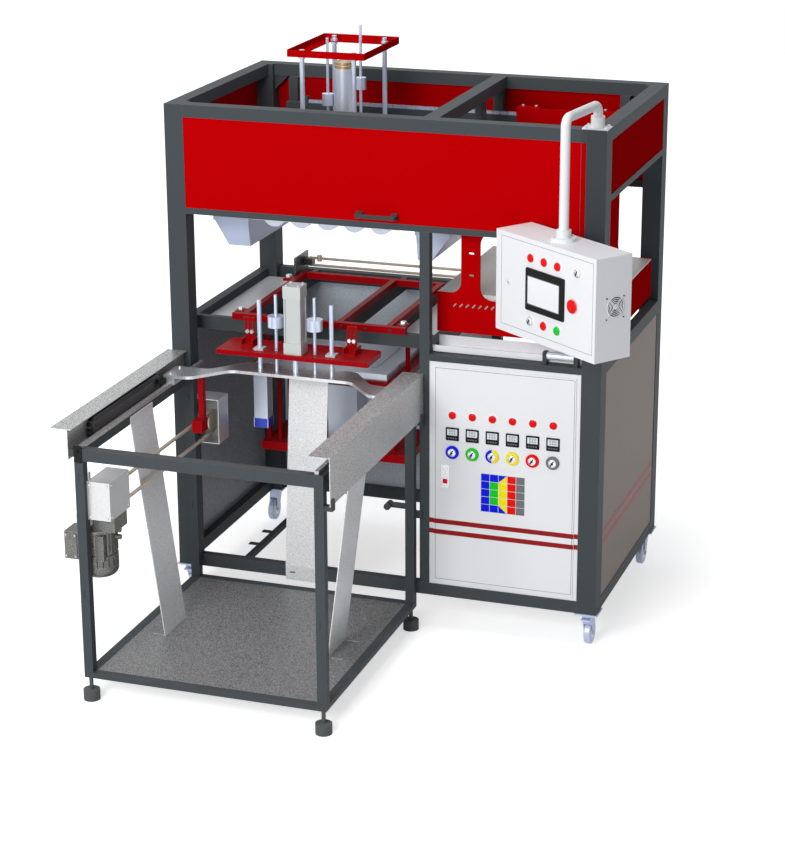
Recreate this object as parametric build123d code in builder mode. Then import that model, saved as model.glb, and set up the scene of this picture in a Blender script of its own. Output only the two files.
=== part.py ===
from build123d import *
import os
from math import cos, sin, radians

# Thermoforming machine: a welded tube frame on casters with a heater carriage, an upper
# press and a mould table, and in front a stacker frame that takes the formed parts off.
# Millimetres, +Z up, +X to the right of the front view, +Y towards the back, floor at Z = 0.
# Places are counted from the main frame's front left corner, and x0, y0 put that corner
# so that the middle of the whole machine's footprint is the origin.
os.makedirs("parts", exist_ok=True)

# main frame
width = 1800.0
depth = 1040.0
height = 2100.0
ground_gap = 150.0
post = 80.0
tube = 40.0
rail_h = 50.0
rail_w = 60.0
strip = 25.0
sheet = 4.0
panel_set_back = 2.0
mid_x = 1064.0
panel_low = 1685.0
side_panel_low = 1840.0
table_z = 1192.0
table_rail_h = 55.0
table_beam_h = 50.0
table_front = 165.0
bar = 25.0

# electrical cabinet
cab_h = 943.0
cab_d = 320.0
cab_wall = 3.0
door_frame = 18.0
door_gap = 0.3
door_t = 4.0
row_pitch = 82.4
controller = 54.0
lamp_r = 17.0
knob_r = 27.0

# casters
wheel_r = 50.0
wheel_w = 28.0
trail = 28.0
caster_plate = 94.0
caster_plate_t = 6.0
fork_wall = 4.0
axle_r = 6.0

# heater carriage
oven_x = 1093.0
oven_w = 687.0
oven_low = 1228.0
oven_h = 160.0
end_t = 8.0
oven_front = 136.0
upright_w = 447.0
upright_x = 98.0
upright_top = 1990.0
root_r = 45.0
window_w = 291.0
window_h = 275.0
window_low = 1365.0
beam_y = 95.0
beam_w = 30.0
beam_h = 45.0
beam_top = 1950.0
rail_t = 12.0
beam_left = 158.0
rail_left = 259.0
run_gap = 6.0
hanger_w = 96.0

# upper press
press_x = 570.0
press_y = depth / 2
press_beam_h = 60.0
press_plate_w = 340.0
press_plate_t = 15.0
ring_w = 330.0
ring_d = 435.0
ring_h = 28.0
ring_top = 2284.0
ring_bar = 45.0
ring_wall = 4.0
press_rod_r = 10.0
press_rod_dx = 110.0
press_rod_dy = 187.0
press_bore = 43.0
press_cylinder_h = 268.0
press_piston_r = 16.0
stop_rod_r = 6.0
stop_dx = 71.5
platen_low = 1588.0
platen_t = 20.0
platen_w = 640.0
platen_d = 500.0
plug_count = 5
plug_pitch = 115.0
plug_r = 50.0
plug_drop = 31.0

# mould table
mould_top = 1000.0
mould_w = 575.0
mould_d = 640.0
mould_t = 28.0
mould_plate_w = 670.0
mould_plate_t = 22.0
column_r = 10.0
column_dx = 311.0
column_dy = 120.0
guide_r = 8.0
guide_dx = 255.0
guide_dy = 140.0
base_top = 606.0
base_t = 36.0
base_d = 350.0
mould_cylinder_w = 130.0
mould_cylinder_h = 244.0
mould_piston_r = 20.0

# clamp frame
clamp_x = 243.0
clamp_w = 647.0
clamp_y = 150.0
clamp_back = 170.0
clamp_h = 27.0
mid_bar_x = 412.0

# stacker frame in front
st_lap = 8.0
st_w = 981.0
st_gap = 8.0
st_d = 1050.0
st_tube = 36.0
st_low = 95.0
st_top = 1016.0
foot_r = 32.0
foot_h = 42.0
stem_r = 8.0
slide_w = 16.0
slide_h = 14.0
slide_over = 70.0
cover_w = 85.0
cover_z = 1087.0
cover_t = 3.0
cover_left = -20.0
cover_right = 995.0
cover_drop = 118.0
guide_strip = 200.0
guide_foot = 343.5

# chains
link = 8.0
chain_r = 45.0
chain_x = 160.0
chain_top = 833.0
chain_front = -955.0
chain_back = 20.0
heater_chain_r = 16.0

# take-off unit
bow_top = 1062.0
bow_t = 12.0
bow_x1 = 75.0
bow_w = 974.0
bow_mid_y = -115.0
bow_end_y = -255.0
lift_x = 565.0
lift_y = -60.0
lift_rod_r = 9.0
lift_rod_dx = 153.0
thin_rod_r = 6.5
thin_rod_dx = 82.0
lift_piston_r = 13.0
lift_top = 1143.0
lift_t = 19.0
lift_w = 644.0
lift_d = 180.0
bracket_dx = 218.0

# control box
arm_in = 50.0
arm_y = 50.0
arm_z = 2188.0
pipe_r = 18.0
box_w = 585.0
box_d = 164.0
box_h = 389.0
box_top = 1735.0
box_turn = -36.0
box_x = 1704.0
box_y = -246.0
box_wall = 2.5

# fits
slip = 0.06
seat = 0.3

# the arm stands on the front right post, the stacker's left leg before the left one
arm_x = width - arm_in
st_left = post - st_lap

# the footprint's middle is the origin
x_right = box_x + cos(radians(box_turn)) * box_w / 2 + abs(sin(radians(box_turn))) * box_d / 2
x0 = -(cover_left + x_right) / 2
y0 = -(-st_gap - st_d + st_tube / 2 - foot_r + depth + (caster_plate - post) / 2) / 2


def block(x1, x2, y1, y2, z1, z2, mode=Mode.ADD):
    with Locations((x0 + (x1 + x2) / 2, y0 + (y1 + y2) / 2, (z1 + z2) / 2)):
        Box(x2 - x1, y2 - y1, z2 - z1, mode=mode)


def rod_z(x, y, z1, z2, r, mode=Mode.ADD):
    with Locations((x0 + x, y0 + y, (z1 + z2) / 2)):
        Cylinder(r, z2 - z1, mode=mode)


def rod_x(x1, x2, y, z, r, mode=Mode.ADD):
    with Locations(Location((x0 + (x1 + x2) / 2, y0 + y, z), (0, 90, 0))):
        Cylinder(r, x2 - x1, mode=mode)


def rod_y(x, y1, y2, z, r, mode=Mode.ADD):
    with Locations(Location((x0 + x, y0 + (y1 + y2) / 2, z), (90, 0, 0))):
        Cylinder(r, y2 - y1, mode=mode)


# Main frame
st_right = st_left + st_w
st_back = -st_gap
st_front = st_back - st_d
panel_top = height - rail_h
low_rail_top = ground_gap + rail_h
table_low = table_z - table_rail_h
cab_x = mid_x + tube
cab_w = width - post - cab_x
cab_top = low_rail_top + cab_h
rear = depth

with BuildPart() as main_posts:
    for cx in (0, width - post):
        for cy in (0, rear - post):
            block(cx, cx + post, cy, cy + post, ground_gap, height)
    block(mid_x, mid_x + tube, 0, tube, low_rail_top, panel_low - strip)
    block(mid_x, mid_x + tube, rear - tube, rear, low_rail_top, table_z)
main_posts.part.label = "main_posts"
export_step(main_posts.part, "parts/main_posts.step")

# rails along the front and the back, each between two posts, with gussets in the top corners
gusset = 62.0
gusset_in = 46.0
with BuildPart() as long_rails:
    block(post, width - post, 0, rail_w, panel_top, height)
    block(post, width - post, rear - rail_w, rear, panel_top, height)
    block(post, width - post, 0, strip, panel_low - strip, panel_low)
    block(post, width - post, rear - strip, rear, panel_low - strip, panel_low)
    block(post, width - post, 0, tube, ground_gap, low_rail_top)
    block(post, width - post, rear - tube, rear, ground_gap, low_rail_top)
    block(post, mid_x, rear - tube, rear, table_low, table_z)
    block(mid_x + tube, width - post, rear - tube, rear, table_low, table_z)
    block(cab_x, width - post, 0, tube, cab_top, cab_top + bar)
    block(tube, mid_x, table_front, table_front + bar, table_low, table_z)
    for gy in (gusset_in + sheet, rear - gusset_in):
        with BuildSketch(Plane.XZ.offset(-(y0 + gy))):
            for gx, side in ((x0 + post, 1), (x0 + width - post, -1)):
                with BuildLine():
                    Polyline((gx, panel_top), (gx + side * gusset, panel_top), (gx, panel_top - gusset),
                             close=True)
                make_face()
        extrude(amount=sheet)
long_rails.part.label = "long_rails"
export_step(long_rails.part, "parts/long_rails.step")

# rails from front to back: sides, the beam that carries the press, the table's beams
beam_at = [clamp_x, clamp_x + mid_bar_x, clamp_x + clamp_w - bar]
beam_low = table_z - table_beam_h
floor_bar_x = 252.0
floor_bar_h = 20.0
floor_tab_y = 245.0
floor_tab_pitch = 150.0
with BuildPart() as cross_rails:
    for rx, rw, rz1, rz2 in (
        (0, rail_w, panel_top, height),
        (width - rail_w, rail_w, panel_top, height),
        (0, strip, side_panel_low - strip, side_panel_low),
        (width - strip, strip, side_panel_low - strip, side_panel_low),
        (0, tube, table_low, table_z),
        (width - tube, tube, table_low, table_z),
        (0, tube, ground_gap, low_rail_top),
        (width - tube, tube, ground_gap, low_rail_top),
    ):
        block(rx, rx + rw, post, rear - post, rz1, rz2)
    block(mid_x, mid_x + rail_w, rail_w, rear - rail_w, panel_top, height)
    block(mid_x, mid_x + tube, tube, rear - tube, table_low, table_z)
    for bx in beam_at:
        block(bx, bx + bar, table_front + bar, rear - tube, beam_low, table_z)
    block(floor_bar_x, floor_bar_x + bar, tube, rear - tube, ground_gap, ground_gap + floor_bar_h)
    for ty in (floor_tab_y, floor_tab_y + floor_tab_pitch):
        block(floor_bar_x - tube, floor_bar_x, ty, ty + bar, ground_gap + floor_bar_h - sheet,
              ground_gap + floor_bar_h)
cross_rails.part.label = "cross_rails"
export_step(cross_rails.part, "parts/cross_rails.step")

sb = panel_set_back
with BuildPart() as upper_panels:
    block(post, width - post, sb, sb + sheet, panel_low, panel_top)
    block(post, width - post, rear - sb - sheet, rear - sb, panel_low, panel_top)
    block(sb, sb + sheet, post, rear - post, side_panel_low, panel_top)
    block(width - sb - sheet, width - sb, post, rear - post, side_panel_low, panel_top)
upper_panels.part.label = "upper_panels"
export_step(upper_panels.part, "parts/upper_panels.step")

# bow handle on the front panel: a flat arch between two feet
handle_x = 808.0
handle_l = 169.0
handle_z = 1712.0
handle_h = 15.0
handle_foot = 26.0
handle_out = 38.0
handle_t = 11.0
with BuildPart() as panel_handle:
    with BuildSketch(Plane.XY.offset(handle_z - handle_h / 2)):
        with Locations((x0 + handle_x + handle_l / 2, y0 + (sb - handle_out) / 2)):
            RectangleRounded(handle_l, sb + handle_out, handle_t)
        with Locations((x0 + handle_x + handle_l / 2, y0 + sb / 2 + (handle_t - handle_out) / 2)):
            Rectangle(handle_l - 2 * handle_foot, sb + handle_out - handle_t, mode=Mode.SUBTRACT)
    extrude(amount=handle_h)
    for hx in (handle_x, handle_x + handle_l - handle_foot):
        block(hx, hx + handle_foot, -handle_t, sb, handle_z - handle_foot / 2, handle_z + handle_foot / 2)
panel_handle.part.label = "panel_handle"
export_step(panel_handle.part, "parts/panel_handle.step")

# sheets on both sides of the forming window, and the trough in front of the oven
shelf_z = table_z - 40.0
trough_x = cab_x + 1
trough_y = 42.0
trough_d = 88.0
trough_low = table_z - 20.0
with BuildPart() as table_sheets:
    block(tube, beam_at[0], table_front + bar, rear - post, shelf_z, shelf_z + cab_wall)
    block(beam_at[2] + bar, mid_x, table_front + bar, rear - post, shelf_z, shelf_z + cab_wall)
    block(trough_x, width - post, trough_y, trough_y + trough_d, trough_low, trough_low + cab_wall)
    block(trough_x, width - post, trough_y, trough_y + cab_wall, trough_low, table_z + 5)
    block(trough_x, width - post, trough_y + trough_d - cab_wall, trough_y + trough_d, trough_low,
          oven_low - 12)
table_sheets.part.label = "table_sheets"
export_step(table_sheets.part, "parts/table_sheets.step")

with BuildPart() as lower_panels:
    block(sb, sb + sheet, post, rear - post, low_rail_top, table_low)
    block(width - sb - sheet, width - sb, post, rear - post, low_rail_top, table_low)
    block(post, mid_x, rear - sb - sheet, rear - sb, low_rail_top, table_low)
lower_panels.part.label = "lower_panels"
export_step(lower_panels.part, "parts/lower_panels.step")

# Casters
fork_top = ground_gap - caster_plate_t - seat
caster_at = {
    "front_left": (post / 2, post / 2),
    "front_right": (width - post / 2, post / 2),
    "rear_left": (post / 2, rear - post / 2),
    "rear_right": (width - post / 2, rear - post / 2),
}
fork_w = wheel_w + 2 * fork_wall + 4
with BuildPart() as caster_plates:
    for cx, cy in caster_at.values():
        block(cx - caster_plate / 2, cx + caster_plate / 2, cy - caster_plate / 2, cy + caster_plate / 2,
              ground_gap - caster_plate_t, ground_gap)
caster_plates.part.label = "caster_plates"
export_step(caster_plates.part, "parts/caster_plates.step")

# each fork: swivel head, two cheeks that trail to the axle, and a brake pedal on the front ones
for spot, (cx, cy) in caster_at.items():
    turn = 1 if cy < depth / 2 else -1
    wheel_y = cy + turn * trail
    with BuildPart() as caster_fork:
        rod_z(cx, cy, fork_top - 12, fork_top, 30)
        with BuildSketch(Plane.YZ.offset(x0 + cx - fork_w / 2)):
            with BuildLine():
                Polyline(
                    (y0 + cy - turn * 26, fork_top - 10),
                    (y0 + cy + turn * 30, fork_top - 10),
                    (y0 + wheel_y + turn * 14, wheel_r),
                    (y0 + wheel_y, wheel_r - 14),
                    (y0 + wheel_y - turn * 14, wheel_r),
                    (y0 + cy - turn * 26, fork_top - 10),
                )
            make_face()
        extrude(amount=fork_w)
        rod_x(cx - wheel_w / 2 - 2, cx + wheel_w / 2 + 2, wheel_y, wheel_r, wheel_r + 5,
              mode=Mode.SUBTRACT)
        rod_x(cx - fork_w / 2 - 3, cx + fork_w / 2 + 3, wheel_y, wheel_r, axle_r)
        if turn > 0:
            block(cx - 18, cx + 18, cy - 48, cy - 20, fork_top - 22, fork_top - 16)
    caster_fork.part.label = f"caster_fork_{spot}"
    export_step(caster_fork.part, f"parts/caster_fork_{spot}.step")
    with BuildPart() as caster_wheel:
        rod_x(cx - wheel_w / 2, cx + wheel_w / 2, wheel_y, wheel_r, wheel_r)
        fillet(caster_wheel.edges().filter_by(GeomType.CIRCLE), 6)
        rod_x(cx - wheel_w, cx + wheel_w, wheel_y, wheel_r, axle_r + slip, mode=Mode.SUBTRACT)
    caster_wheel.part.label = f"caster_wheel_{spot}"
    export_step(caster_wheel.part, f"parts/caster_wheel_{spot}.step")

# Electrical cabinet
door_x = cab_x + door_frame
door_w = cab_w - 2 * door_frame
door_low = low_rail_top + door_frame
door_h = cab_h - 2 * door_frame
door_back = door_t
with BuildPart() as cabinet_shell:
    block(cab_x, cab_x + cab_w, door_back + door_gap, door_back + cab_d, low_rail_top, cab_top)
    block(cab_x + cab_wall, cab_x + cab_w - cab_wall, door_back + door_gap + cab_wall,
          door_back + cab_d - cab_wall, low_rail_top + cab_wall, cab_top - cab_wall,
          mode=Mode.SUBTRACT)
    block(door_x + 10, door_x + door_w - 10, 0, door_back + door_gap + cab_wall + 1,
          door_low + 10, door_low + door_h - 10, mode=Mode.SUBTRACT)
cabinet_shell.part.label = "cabinet_shell"
export_step(cabinet_shell.part, "parts/cabinet_shell.step")

with BuildPart() as cabinet_door:
    block(door_x, door_x + door_w, 0, door_t, door_low, door_low + door_h)
cabinet_door.part.label = "cabinet_door"
export_step(cabinet_door.part, "parts/cabinet_door.step")

# six lamps, six temperature controllers and six selector knobs in even rows, and the latch
row_x = door_x + 79.0
lamp_z = 927.0
controller_z = 849.0
knob_z = 773.0
latch_z = 620.0
with BuildPart() as door_controls:
    for i in range(6):
        cx = row_x + i * row_pitch
        rod_y(cx, -9, 0, lamp_z, lamp_r)
        block(cx - controller / 2, cx + controller / 2, -4, 0, controller_z - controller / 2,
              controller_z + controller / 2)
        rod_y(cx, -16, 0, knob_z, knob_r)
    block(door_x + 32, door_x + 66, -4, 0, latch_z, latch_z + 98)
    block(door_x + 42, door_x + 56, -12, -4, latch_z + 30, latch_z + 64)
door_controls.part.label = "door_controls"
export_step(door_controls.part, "parts/door_controls.step")

# Heater carriage and its rails
back_beam_y = rear - beam_y - beam_w
with BuildPart() as heater_beams:
    for by in (beam_y, back_beam_y):
        block(beam_left, width - post, by, by + beam_w, beam_top - beam_h, beam_top)
heater_beams.part.label = "heater_beams"
export_step(heater_beams.part, "parts/heater_beams.step")

# plates and bars that hang the heater beams, the press beams and the ducts
press_plate_d = 2 * press_rod_dy + 96.0
beam_ys = [press_y - press_plate_d / 2, press_y + press_plate_d / 2 - beam_w]
duct_low = 1468.0
duct_h = 107.0
flange_t = 20.0
duct_top = duct_low + duct_h + flange_t
ducts = ((88.0, 148.0, 140.0, 96.0), (960.0, 138.0, 960.0, 60.0))
with BuildPart() as hanging_brackets:
    back_face = back_beam_y + beam_w
    hang_low = beam_top - beam_h
    for bx in (beam_left, mid_x + (rail_w - tube) / 2, width - post - gusset - tube):
        block(bx, bx + tube, tube, beam_y - run_gap, hang_low, panel_top)
        block(bx, bx + tube, beam_y - run_gap, beam_y, hang_low, beam_top - run_gap)
        block(bx, bx + tube, back_face + run_gap, rear - tube, hang_low, panel_top)
        block(bx, bx + tube, back_face, back_face + run_gap, hang_low, beam_top - run_gap)
    for by in (beam_y, back_beam_y):
        block(rail_left - 14, rail_left - 2, by + 4, by + beam_w - 4, beam_top, beam_top + 28)
    for by in beam_ys:
        block(mid_x, mid_x + tube, by, by + beam_w, side_panel_low, panel_top)
        for top_x, top_w, low_x, low_w in ducts:
            block(top_x + 60, top_x + 80, by, by + beam_w, duct_top, side_panel_low)
hanging_brackets.part.label = "hanging_brackets"
export_step(hanging_brackets.part, "parts/hanging_brackets.step")

oven_back = rear - oven_front
up_x = oven_x + upright_x
hang_at = [up_x, up_x + upright_w - hanger_w]
# front and back plates: a wide foot, an upright with a rounded window, a row of slots;
# and the two side plates between their feet
side_t = 6.0
foot_top = oven_low + oven_h
foot_mid = x0 + oven_x + oven_w / 2
slot_rise = 110.0
bolt_slot_z = (1464.0, 1553.0)
with BuildPart() as heater_plates:
    for py in (oven_front + end_t, oven_back):
        with BuildSketch(Plane.XZ.offset(-(y0 + py))) as plate_outline:
            with Locations((foot_mid, oven_low + oven_h / 2)):
                Rectangle(oven_w, oven_h)
            with Locations((x0 + up_x + upright_w / 2, (oven_low + upright_top) / 2)):
                Rectangle(upright_w, upright_top - oven_low)
            roots = [v for v in plate_outline.vertices()
                     if abs(v.Y - foot_top) < 1 and abs(v.X - foot_mid) < 0.6 * upright_w]
            fillet(roots, root_r)
            with Locations((x0 + up_x + upright_w / 2, window_low + window_h / 2)):
                RectangleRounded(window_w, window_h, 50, mode=Mode.SUBTRACT)
            with Locations((foot_mid, oven_low + slot_rise)):
                with GridLocations(26, 1, 22, 1):
                    SlotOverall(24, 6, rotation=45, mode=Mode.SUBTRACT)
            for bz in bolt_slot_z:
                with Locations((x0 + up_x + 42, bz)):
                    SlotOverall(22, 9, mode=Mode.SUBTRACT)
        extrude(amount=end_t)
    for sx in (oven_x, oven_x + oven_w - side_t):
        block(sx, sx + side_t, oven_front + end_t, oven_back - end_t, oven_low, oven_low + oven_h - 4)
heater_plates.part.label = "heater_plates"
export_step(heater_plates.part, "parts/heater_plates.step")

with BuildPart() as oven_box:
    block(oven_x + side_t, oven_x + oven_w - side_t, oven_front + end_t, oven_back - end_t,
          oven_low + 4, oven_low + oven_h - 4)
    block(oven_x, oven_x + oven_w, oven_front + end_t, oven_back - end_t,
          oven_low + oven_h - 4, oven_low + oven_h)
oven_box.part.label = "oven_box"
export_step(oven_box.part, "parts/oven_box.step")

# each hanger: a shelf over the rail, a leg on the end plate and a linear block under it
block_low = beam_top + 1.0
with BuildPart() as heater_hangers:
    for hx in hang_at:
        block(hx, hx + hanger_w, beam_y, oven_front, upright_top - 8, upright_top)
        block(hx, hx + hanger_w, oven_front - 6, oven_front, upright_top - 60, upright_top)
        block(hx, hx + hanger_w, oven_back, back_beam_y + beam_w, upright_top - 8, upright_top)
        block(hx, hx + hanger_w, oven_back, oven_back + 6, upright_top - 60, upright_top)
        for by in (beam_y, back_beam_y):
            block(hx + 10, hx + hanger_w - 10, by, by + beam_w, block_low, upright_top)
            block(hx, hx + hanger_w, by + 7 - seat, by + beam_w - 7 + seat, block_low - 1,
                  beam_top + rail_t + seat, mode=Mode.SUBTRACT)
heater_hangers.part.label = "heater_hangers"
export_step(heater_hangers.part, "parts/heater_hangers.step")

# rails of the heater carriage and of the take-off unit
with BuildPart() as guide_rails:
    for by in (beam_y, back_beam_y):
        block(rail_left, width - post - 8, by + 7, by + beam_w - 7, beam_top, beam_top + rail_t)
    for rx in (st_left + 20, st_right - st_tube):
        block(rx, rx + slide_w, st_front + 10, slide_over, st_top, st_top + slide_h)
guide_rails.part.label = "guide_rails"
export_step(guide_rails.part, "parts/guide_rails.step")

# Chains
hc_left = 236.0
hc_w = 894.0
hc_y = depth - 115.0
hc_z = table_z + 57.0
half = link / 2
guard_t = 3.0
with BuildPart() as drive_chains:
    with BuildSketch(Plane.XZ.offset(-(y0 + hc_y + half))):
        with Locations((x0 + hc_left + hc_w / 2, hc_z)):
            SlotOverall(hc_w, 2 * (heater_chain_r + half))
            SlotOverall(hc_w - 2 * link, 2 * (heater_chain_r - half), mode=Mode.SUBTRACT)
    extrude(amount=link)
    with BuildSketch(Plane.YZ.offset(x0 + chain_x - half)):
        with Locations((y0 + (chain_front + chain_back) / 2, chain_top - chain_r)):
            SlotOverall(chain_back - chain_front + 2 * (chain_r + half), 2 * (chain_r + half))
            SlotOverall(chain_back - chain_front + 2 * (chain_r - half), 2 * (chain_r - half),
                        mode=Mode.SUBTRACT)
    extrude(amount=link)
    for sy in (chain_front, chain_back):
        rod_x(chain_x - 3, chain_x + 3, sy, chain_top - chain_r, chain_r - half)
    rod_x(st_left + st_tube + guard_t, chain_x, chain_front, chain_top - chain_r, 9)
    rod_x(chain_x - 15, chain_x, chain_back, chain_top - chain_r, 9)
    for sx in (hc_left + heater_chain_r + half, hc_left + hc_w - heater_chain_r - half):
        rod_y(sx, hc_y - 3, hc_y + 3, hc_z, heater_chain_r - half)
    rod_y(hc_left + heater_chain_r + half, hc_y - half - 2, hc_y + half + 2, hc_z, 8)
    rod_z(hc_left + 62, hc_y, hc_z + heater_chain_r - 13, hc_z + heater_chain_r + 15, 11)
drive_chains.part.label = "drive_chains"
export_step(drive_chains.part, "parts/drive_chains.step")

guard_front = chain_front - chain_r - 35.0
guard_right = 200.0
with BuildPart() as chain_guards:
    # box over the front sprocket, open at the back, with two bolted ears on the leg
    block(st_left + st_tube, guard_right, guard_front, guard_front + 170, 733, 883)
    block(st_left + st_tube + guard_t, guard_right - guard_t, guard_front + guard_t, guard_front + 171,
          733 + guard_t, 883 - guard_t, mode=Mode.SUBTRACT)
    for ez in (703, 883):
        block(st_left + st_tube, st_left + st_tube + guard_t, guard_front + 15, guard_front + 30, ez, ez + 30)
    # box round the rear sprocket, open at the front
    block(post, guard_right, st_back + 1, 95, 700, 890)
    block(post - 1, guard_right - guard_t, st_back, 95 - guard_t, 700 + guard_t, 890 - guard_t,
          mode=Mode.SUBTRACT)
    block(post, chain_x - 15, 0, tube, 760, 815)
    # plate that holds the left end of the heater chain between two cheeks
    block(hc_left - 10, hc_left - 2, hc_y - 125, rear - post - 5, shelf_z + cab_wall, hc_z + 42)
    for by in (hc_y - half - 14, hc_y + half + 2):
        block(hc_left - 2, hc_left + 34, by, by + 12, hc_z - 14, hc_z + 14)
chain_guards.part.label = "chain_guards"
export_step(chain_guards.part, "parts/chain_guards.step")

# air cylinder of the heater carriage, on the rail above the cabinet
air_x = 1578.0
air_l = 108.0
air_y = 23.0
air_z = 1203.0
air_r = 15.0
air_cap = 16.0
with BuildPart() as heater_cylinder:
    rod_x(air_x, air_x + air_l, air_y, air_z, air_r)
    for ax in (air_x - air_cap, air_x + air_l):
        block(ax, ax + air_cap, air_y - air_cap, air_y + air_cap, cab_top + bar, air_z + air_cap)
heater_cylinder.part.label = "heater_cylinder"
export_step(heater_cylinder.part, "parts/heater_cylinder.step")

# Upper press
press_beam_top = side_panel_low + press_beam_h
with BuildPart() as press_beams:
    for by in beam_ys:
        block(sb + sheet, mid_x, by, by + beam_w, side_panel_low, press_beam_top)
press_beams.part.label = "press_beams"
export_step(press_beams.part, "parts/press_beams.step")

rods_at = [(press_x + sx * press_rod_dx, press_y + sy * press_rod_dy) for sx in (-1, 1) for sy in (-1, 1)]
plate_top = press_beam_top + press_plate_t
with BuildPart() as press_plate:
    block(press_x - press_plate_w / 2, press_x + press_plate_w / 2, press_y - press_plate_d / 2,
          press_y + press_plate_d / 2, press_beam_top, plate_top)
    for px, py in rods_at:
        rod_z(px, py, press_beam_top - 35, plate_top + 20, press_rod_r + 7)
        rod_z(px, py, press_beam_top - 40, plate_top + 30, press_rod_r + slip, mode=Mode.SUBTRACT)
    for sx in (-stop_dx, stop_dx):
        rod_z(press_x + sx, press_y, press_beam_top - 10, plate_top + 10, stop_rod_r + 1,
              mode=Mode.SUBTRACT)
    rod_z(press_x, press_y, press_beam_top - 10, plate_top + 10, press_piston_r + 4,
          mode=Mode.SUBTRACT)
press_plate.part.label = "press_plate"
export_step(press_plate.part, "parts/press_plate.step")

with BuildPart() as press_cylinder:
    rod_z(press_x, press_y, plate_top, plate_top + press_cylinder_h, press_bore)
    rod_z(press_x, press_y, plate_top + press_cylinder_h, plate_top + press_cylinder_h + 28,
          press_bore - 6)
    rod_z(press_x, press_y, plate_top - 1, plate_top + press_cylinder_h - 20,
          press_piston_r + slip, mode=Mode.SUBTRACT)
press_cylinder.part.label = "press_cylinder"
export_step(press_cylinder.part, "parts/press_cylinder.step")

# ring of angle section: an upright wall with a ledge inside, and holes for the rods
ring_low = ring_top - ring_h
with BuildPart() as press_ring:
    with BuildSketch(Plane.XY.offset(ring_low)):
        with Locations((x0 + press_x, y0 + press_y)):
            RectangleRounded(ring_w, ring_d, 2 * ring_wall)
            Rectangle(ring_w - 2 * ring_bar, ring_d - 2 * ring_bar, mode=Mode.SUBTRACT)
    extrude(amount=ring_h)
    block(press_x - ring_w / 2 + ring_wall, press_x + ring_w / 2 - ring_wall,
          press_y - ring_d / 2 + ring_wall, press_y + ring_d / 2 - ring_wall,
          ring_low + ring_wall, ring_top + 1, mode=Mode.SUBTRACT)
    for px, py in rods_at:
        rod_z(px, py, ring_low - 1, ring_top, press_rod_r + seat, mode=Mode.SUBTRACT)
press_ring.part.label = "press_ring"
export_step(press_ring.part, "parts/press_ring.step")

platen_top = platen_low + platen_t
stop_tops = (2302.0, 2361.0)
collar_lows = (2027.0, 2101.0)
collar_rs = (24.0, 22.0)
with BuildPart() as press_rods:
    for px, py in rods_at:
        rod_z(px, py, platen_top, ring_top - 2, press_rod_r)
        rod_z(px, py, ring_low - 8, ring_low, press_rod_r + 5)
        rod_z(px, py, ring_low + ring_wall, ring_low + ring_wall + 8, press_rod_r + 5)
    rod_z(press_x, press_y, platen_top, plate_top + 100, press_piston_r)
    for k, sx in enumerate((-stop_dx, stop_dx)):
        rod_z(press_x + sx, press_y, platen_top, stop_tops[k], stop_rod_r)
        rod_z(press_x + sx, press_y, collar_lows[k], collar_lows[k] + 48, collar_rs[k])
press_rods.part.label = "press_rods"
export_step(press_rods.part, "parts/press_rods.step")

with BuildPart() as plug_platen:
    for i in range(plug_count):
        px = press_x + (i - (plug_count - 1) / 2) * plug_pitch
        with Locations(Location((x0 + px, y0 + press_y, platen_low + plug_r - plug_drop), (90, 0, 0))):
            Cylinder(plug_r, platen_d - 60)
    block(press_x - platen_w, press_x + platen_w, 0, rear, platen_low, platen_low + 2 * plug_r,
          mode=Mode.SUBTRACT)
    block(press_x - platen_w / 2, press_x + platen_w / 2, press_y - platen_d / 2,
          press_y + platen_d / 2, platen_low, platen_top)
plug_platen.part.label = "plug_platen"
export_step(plug_platen.part, "parts/plug_platen.step")

# cooling ducts: a hopper that narrows downwards under a flange, hung on the press beams
duct_d = 500.0
with BuildPart() as cooling_ducts:
    for top_x, top_w, low_x, low_w in ducts:
        with BuildSketch(Plane.XY.offset(duct_low)):
            with Locations((x0 + low_x + low_w / 2, y0 + press_y)):
                Rectangle(low_w, duct_d - 40)
        with BuildSketch(Plane.XY.offset(duct_low + duct_h)):
            with Locations((x0 + top_x + top_w / 2, y0 + press_y)):
                Rectangle(top_w, duct_d)
        loft()
        block(top_x - 4, top_x + top_w + 4, press_y - duct_d / 2 - 5, press_y + duct_d / 2 + 5,
              duct_low + duct_h, duct_top)
cooling_ducts.part.label = "cooling_ducts"
export_step(cooling_ducts.part, "parts/cooling_ducts.step")

# Mould table
columns_at = [(press_x + sx * column_dx, press_y + sy * column_dy) for sx in (-1, 1) for sy in (-1, 1)]
guides_at = [(press_x - guide_dx, press_y - guide_dy), (press_x + guide_dx, press_y - guide_dy)]
with BuildPart() as mould_base:
    block(press_x - column_dx - 15, press_x + column_dx + 15, press_y - base_d / 2,
          press_y + base_d / 2, base_top - base_t, base_top)
    for px, py in columns_at:
        rod_z(px, py, base_top, beam_low, column_r)
    for px, py in guides_at:
        rod_z(px, py, base_top, mould_top - mould_t + 10, guide_r)
mould_base.part.label = "mould_base"
export_step(mould_base.part, "parts/mould_base.step")

half_cyl = mould_cylinder_w / 2
with BuildPart() as mould_cylinder:
    block(press_x - half_cyl, press_x + half_cyl, press_y - half_cyl, press_y + half_cyl,
          base_top, base_top + mould_cylinder_h)
    rod_z(press_x, press_y, base_top + 20, base_top + mould_cylinder_h + 1, mould_piston_r + slip,
          mode=Mode.SUBTRACT)
mould_cylinder.part.label = "mould_cylinder"
export_step(mould_cylinder.part, "parts/mould_cylinder.step")

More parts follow.
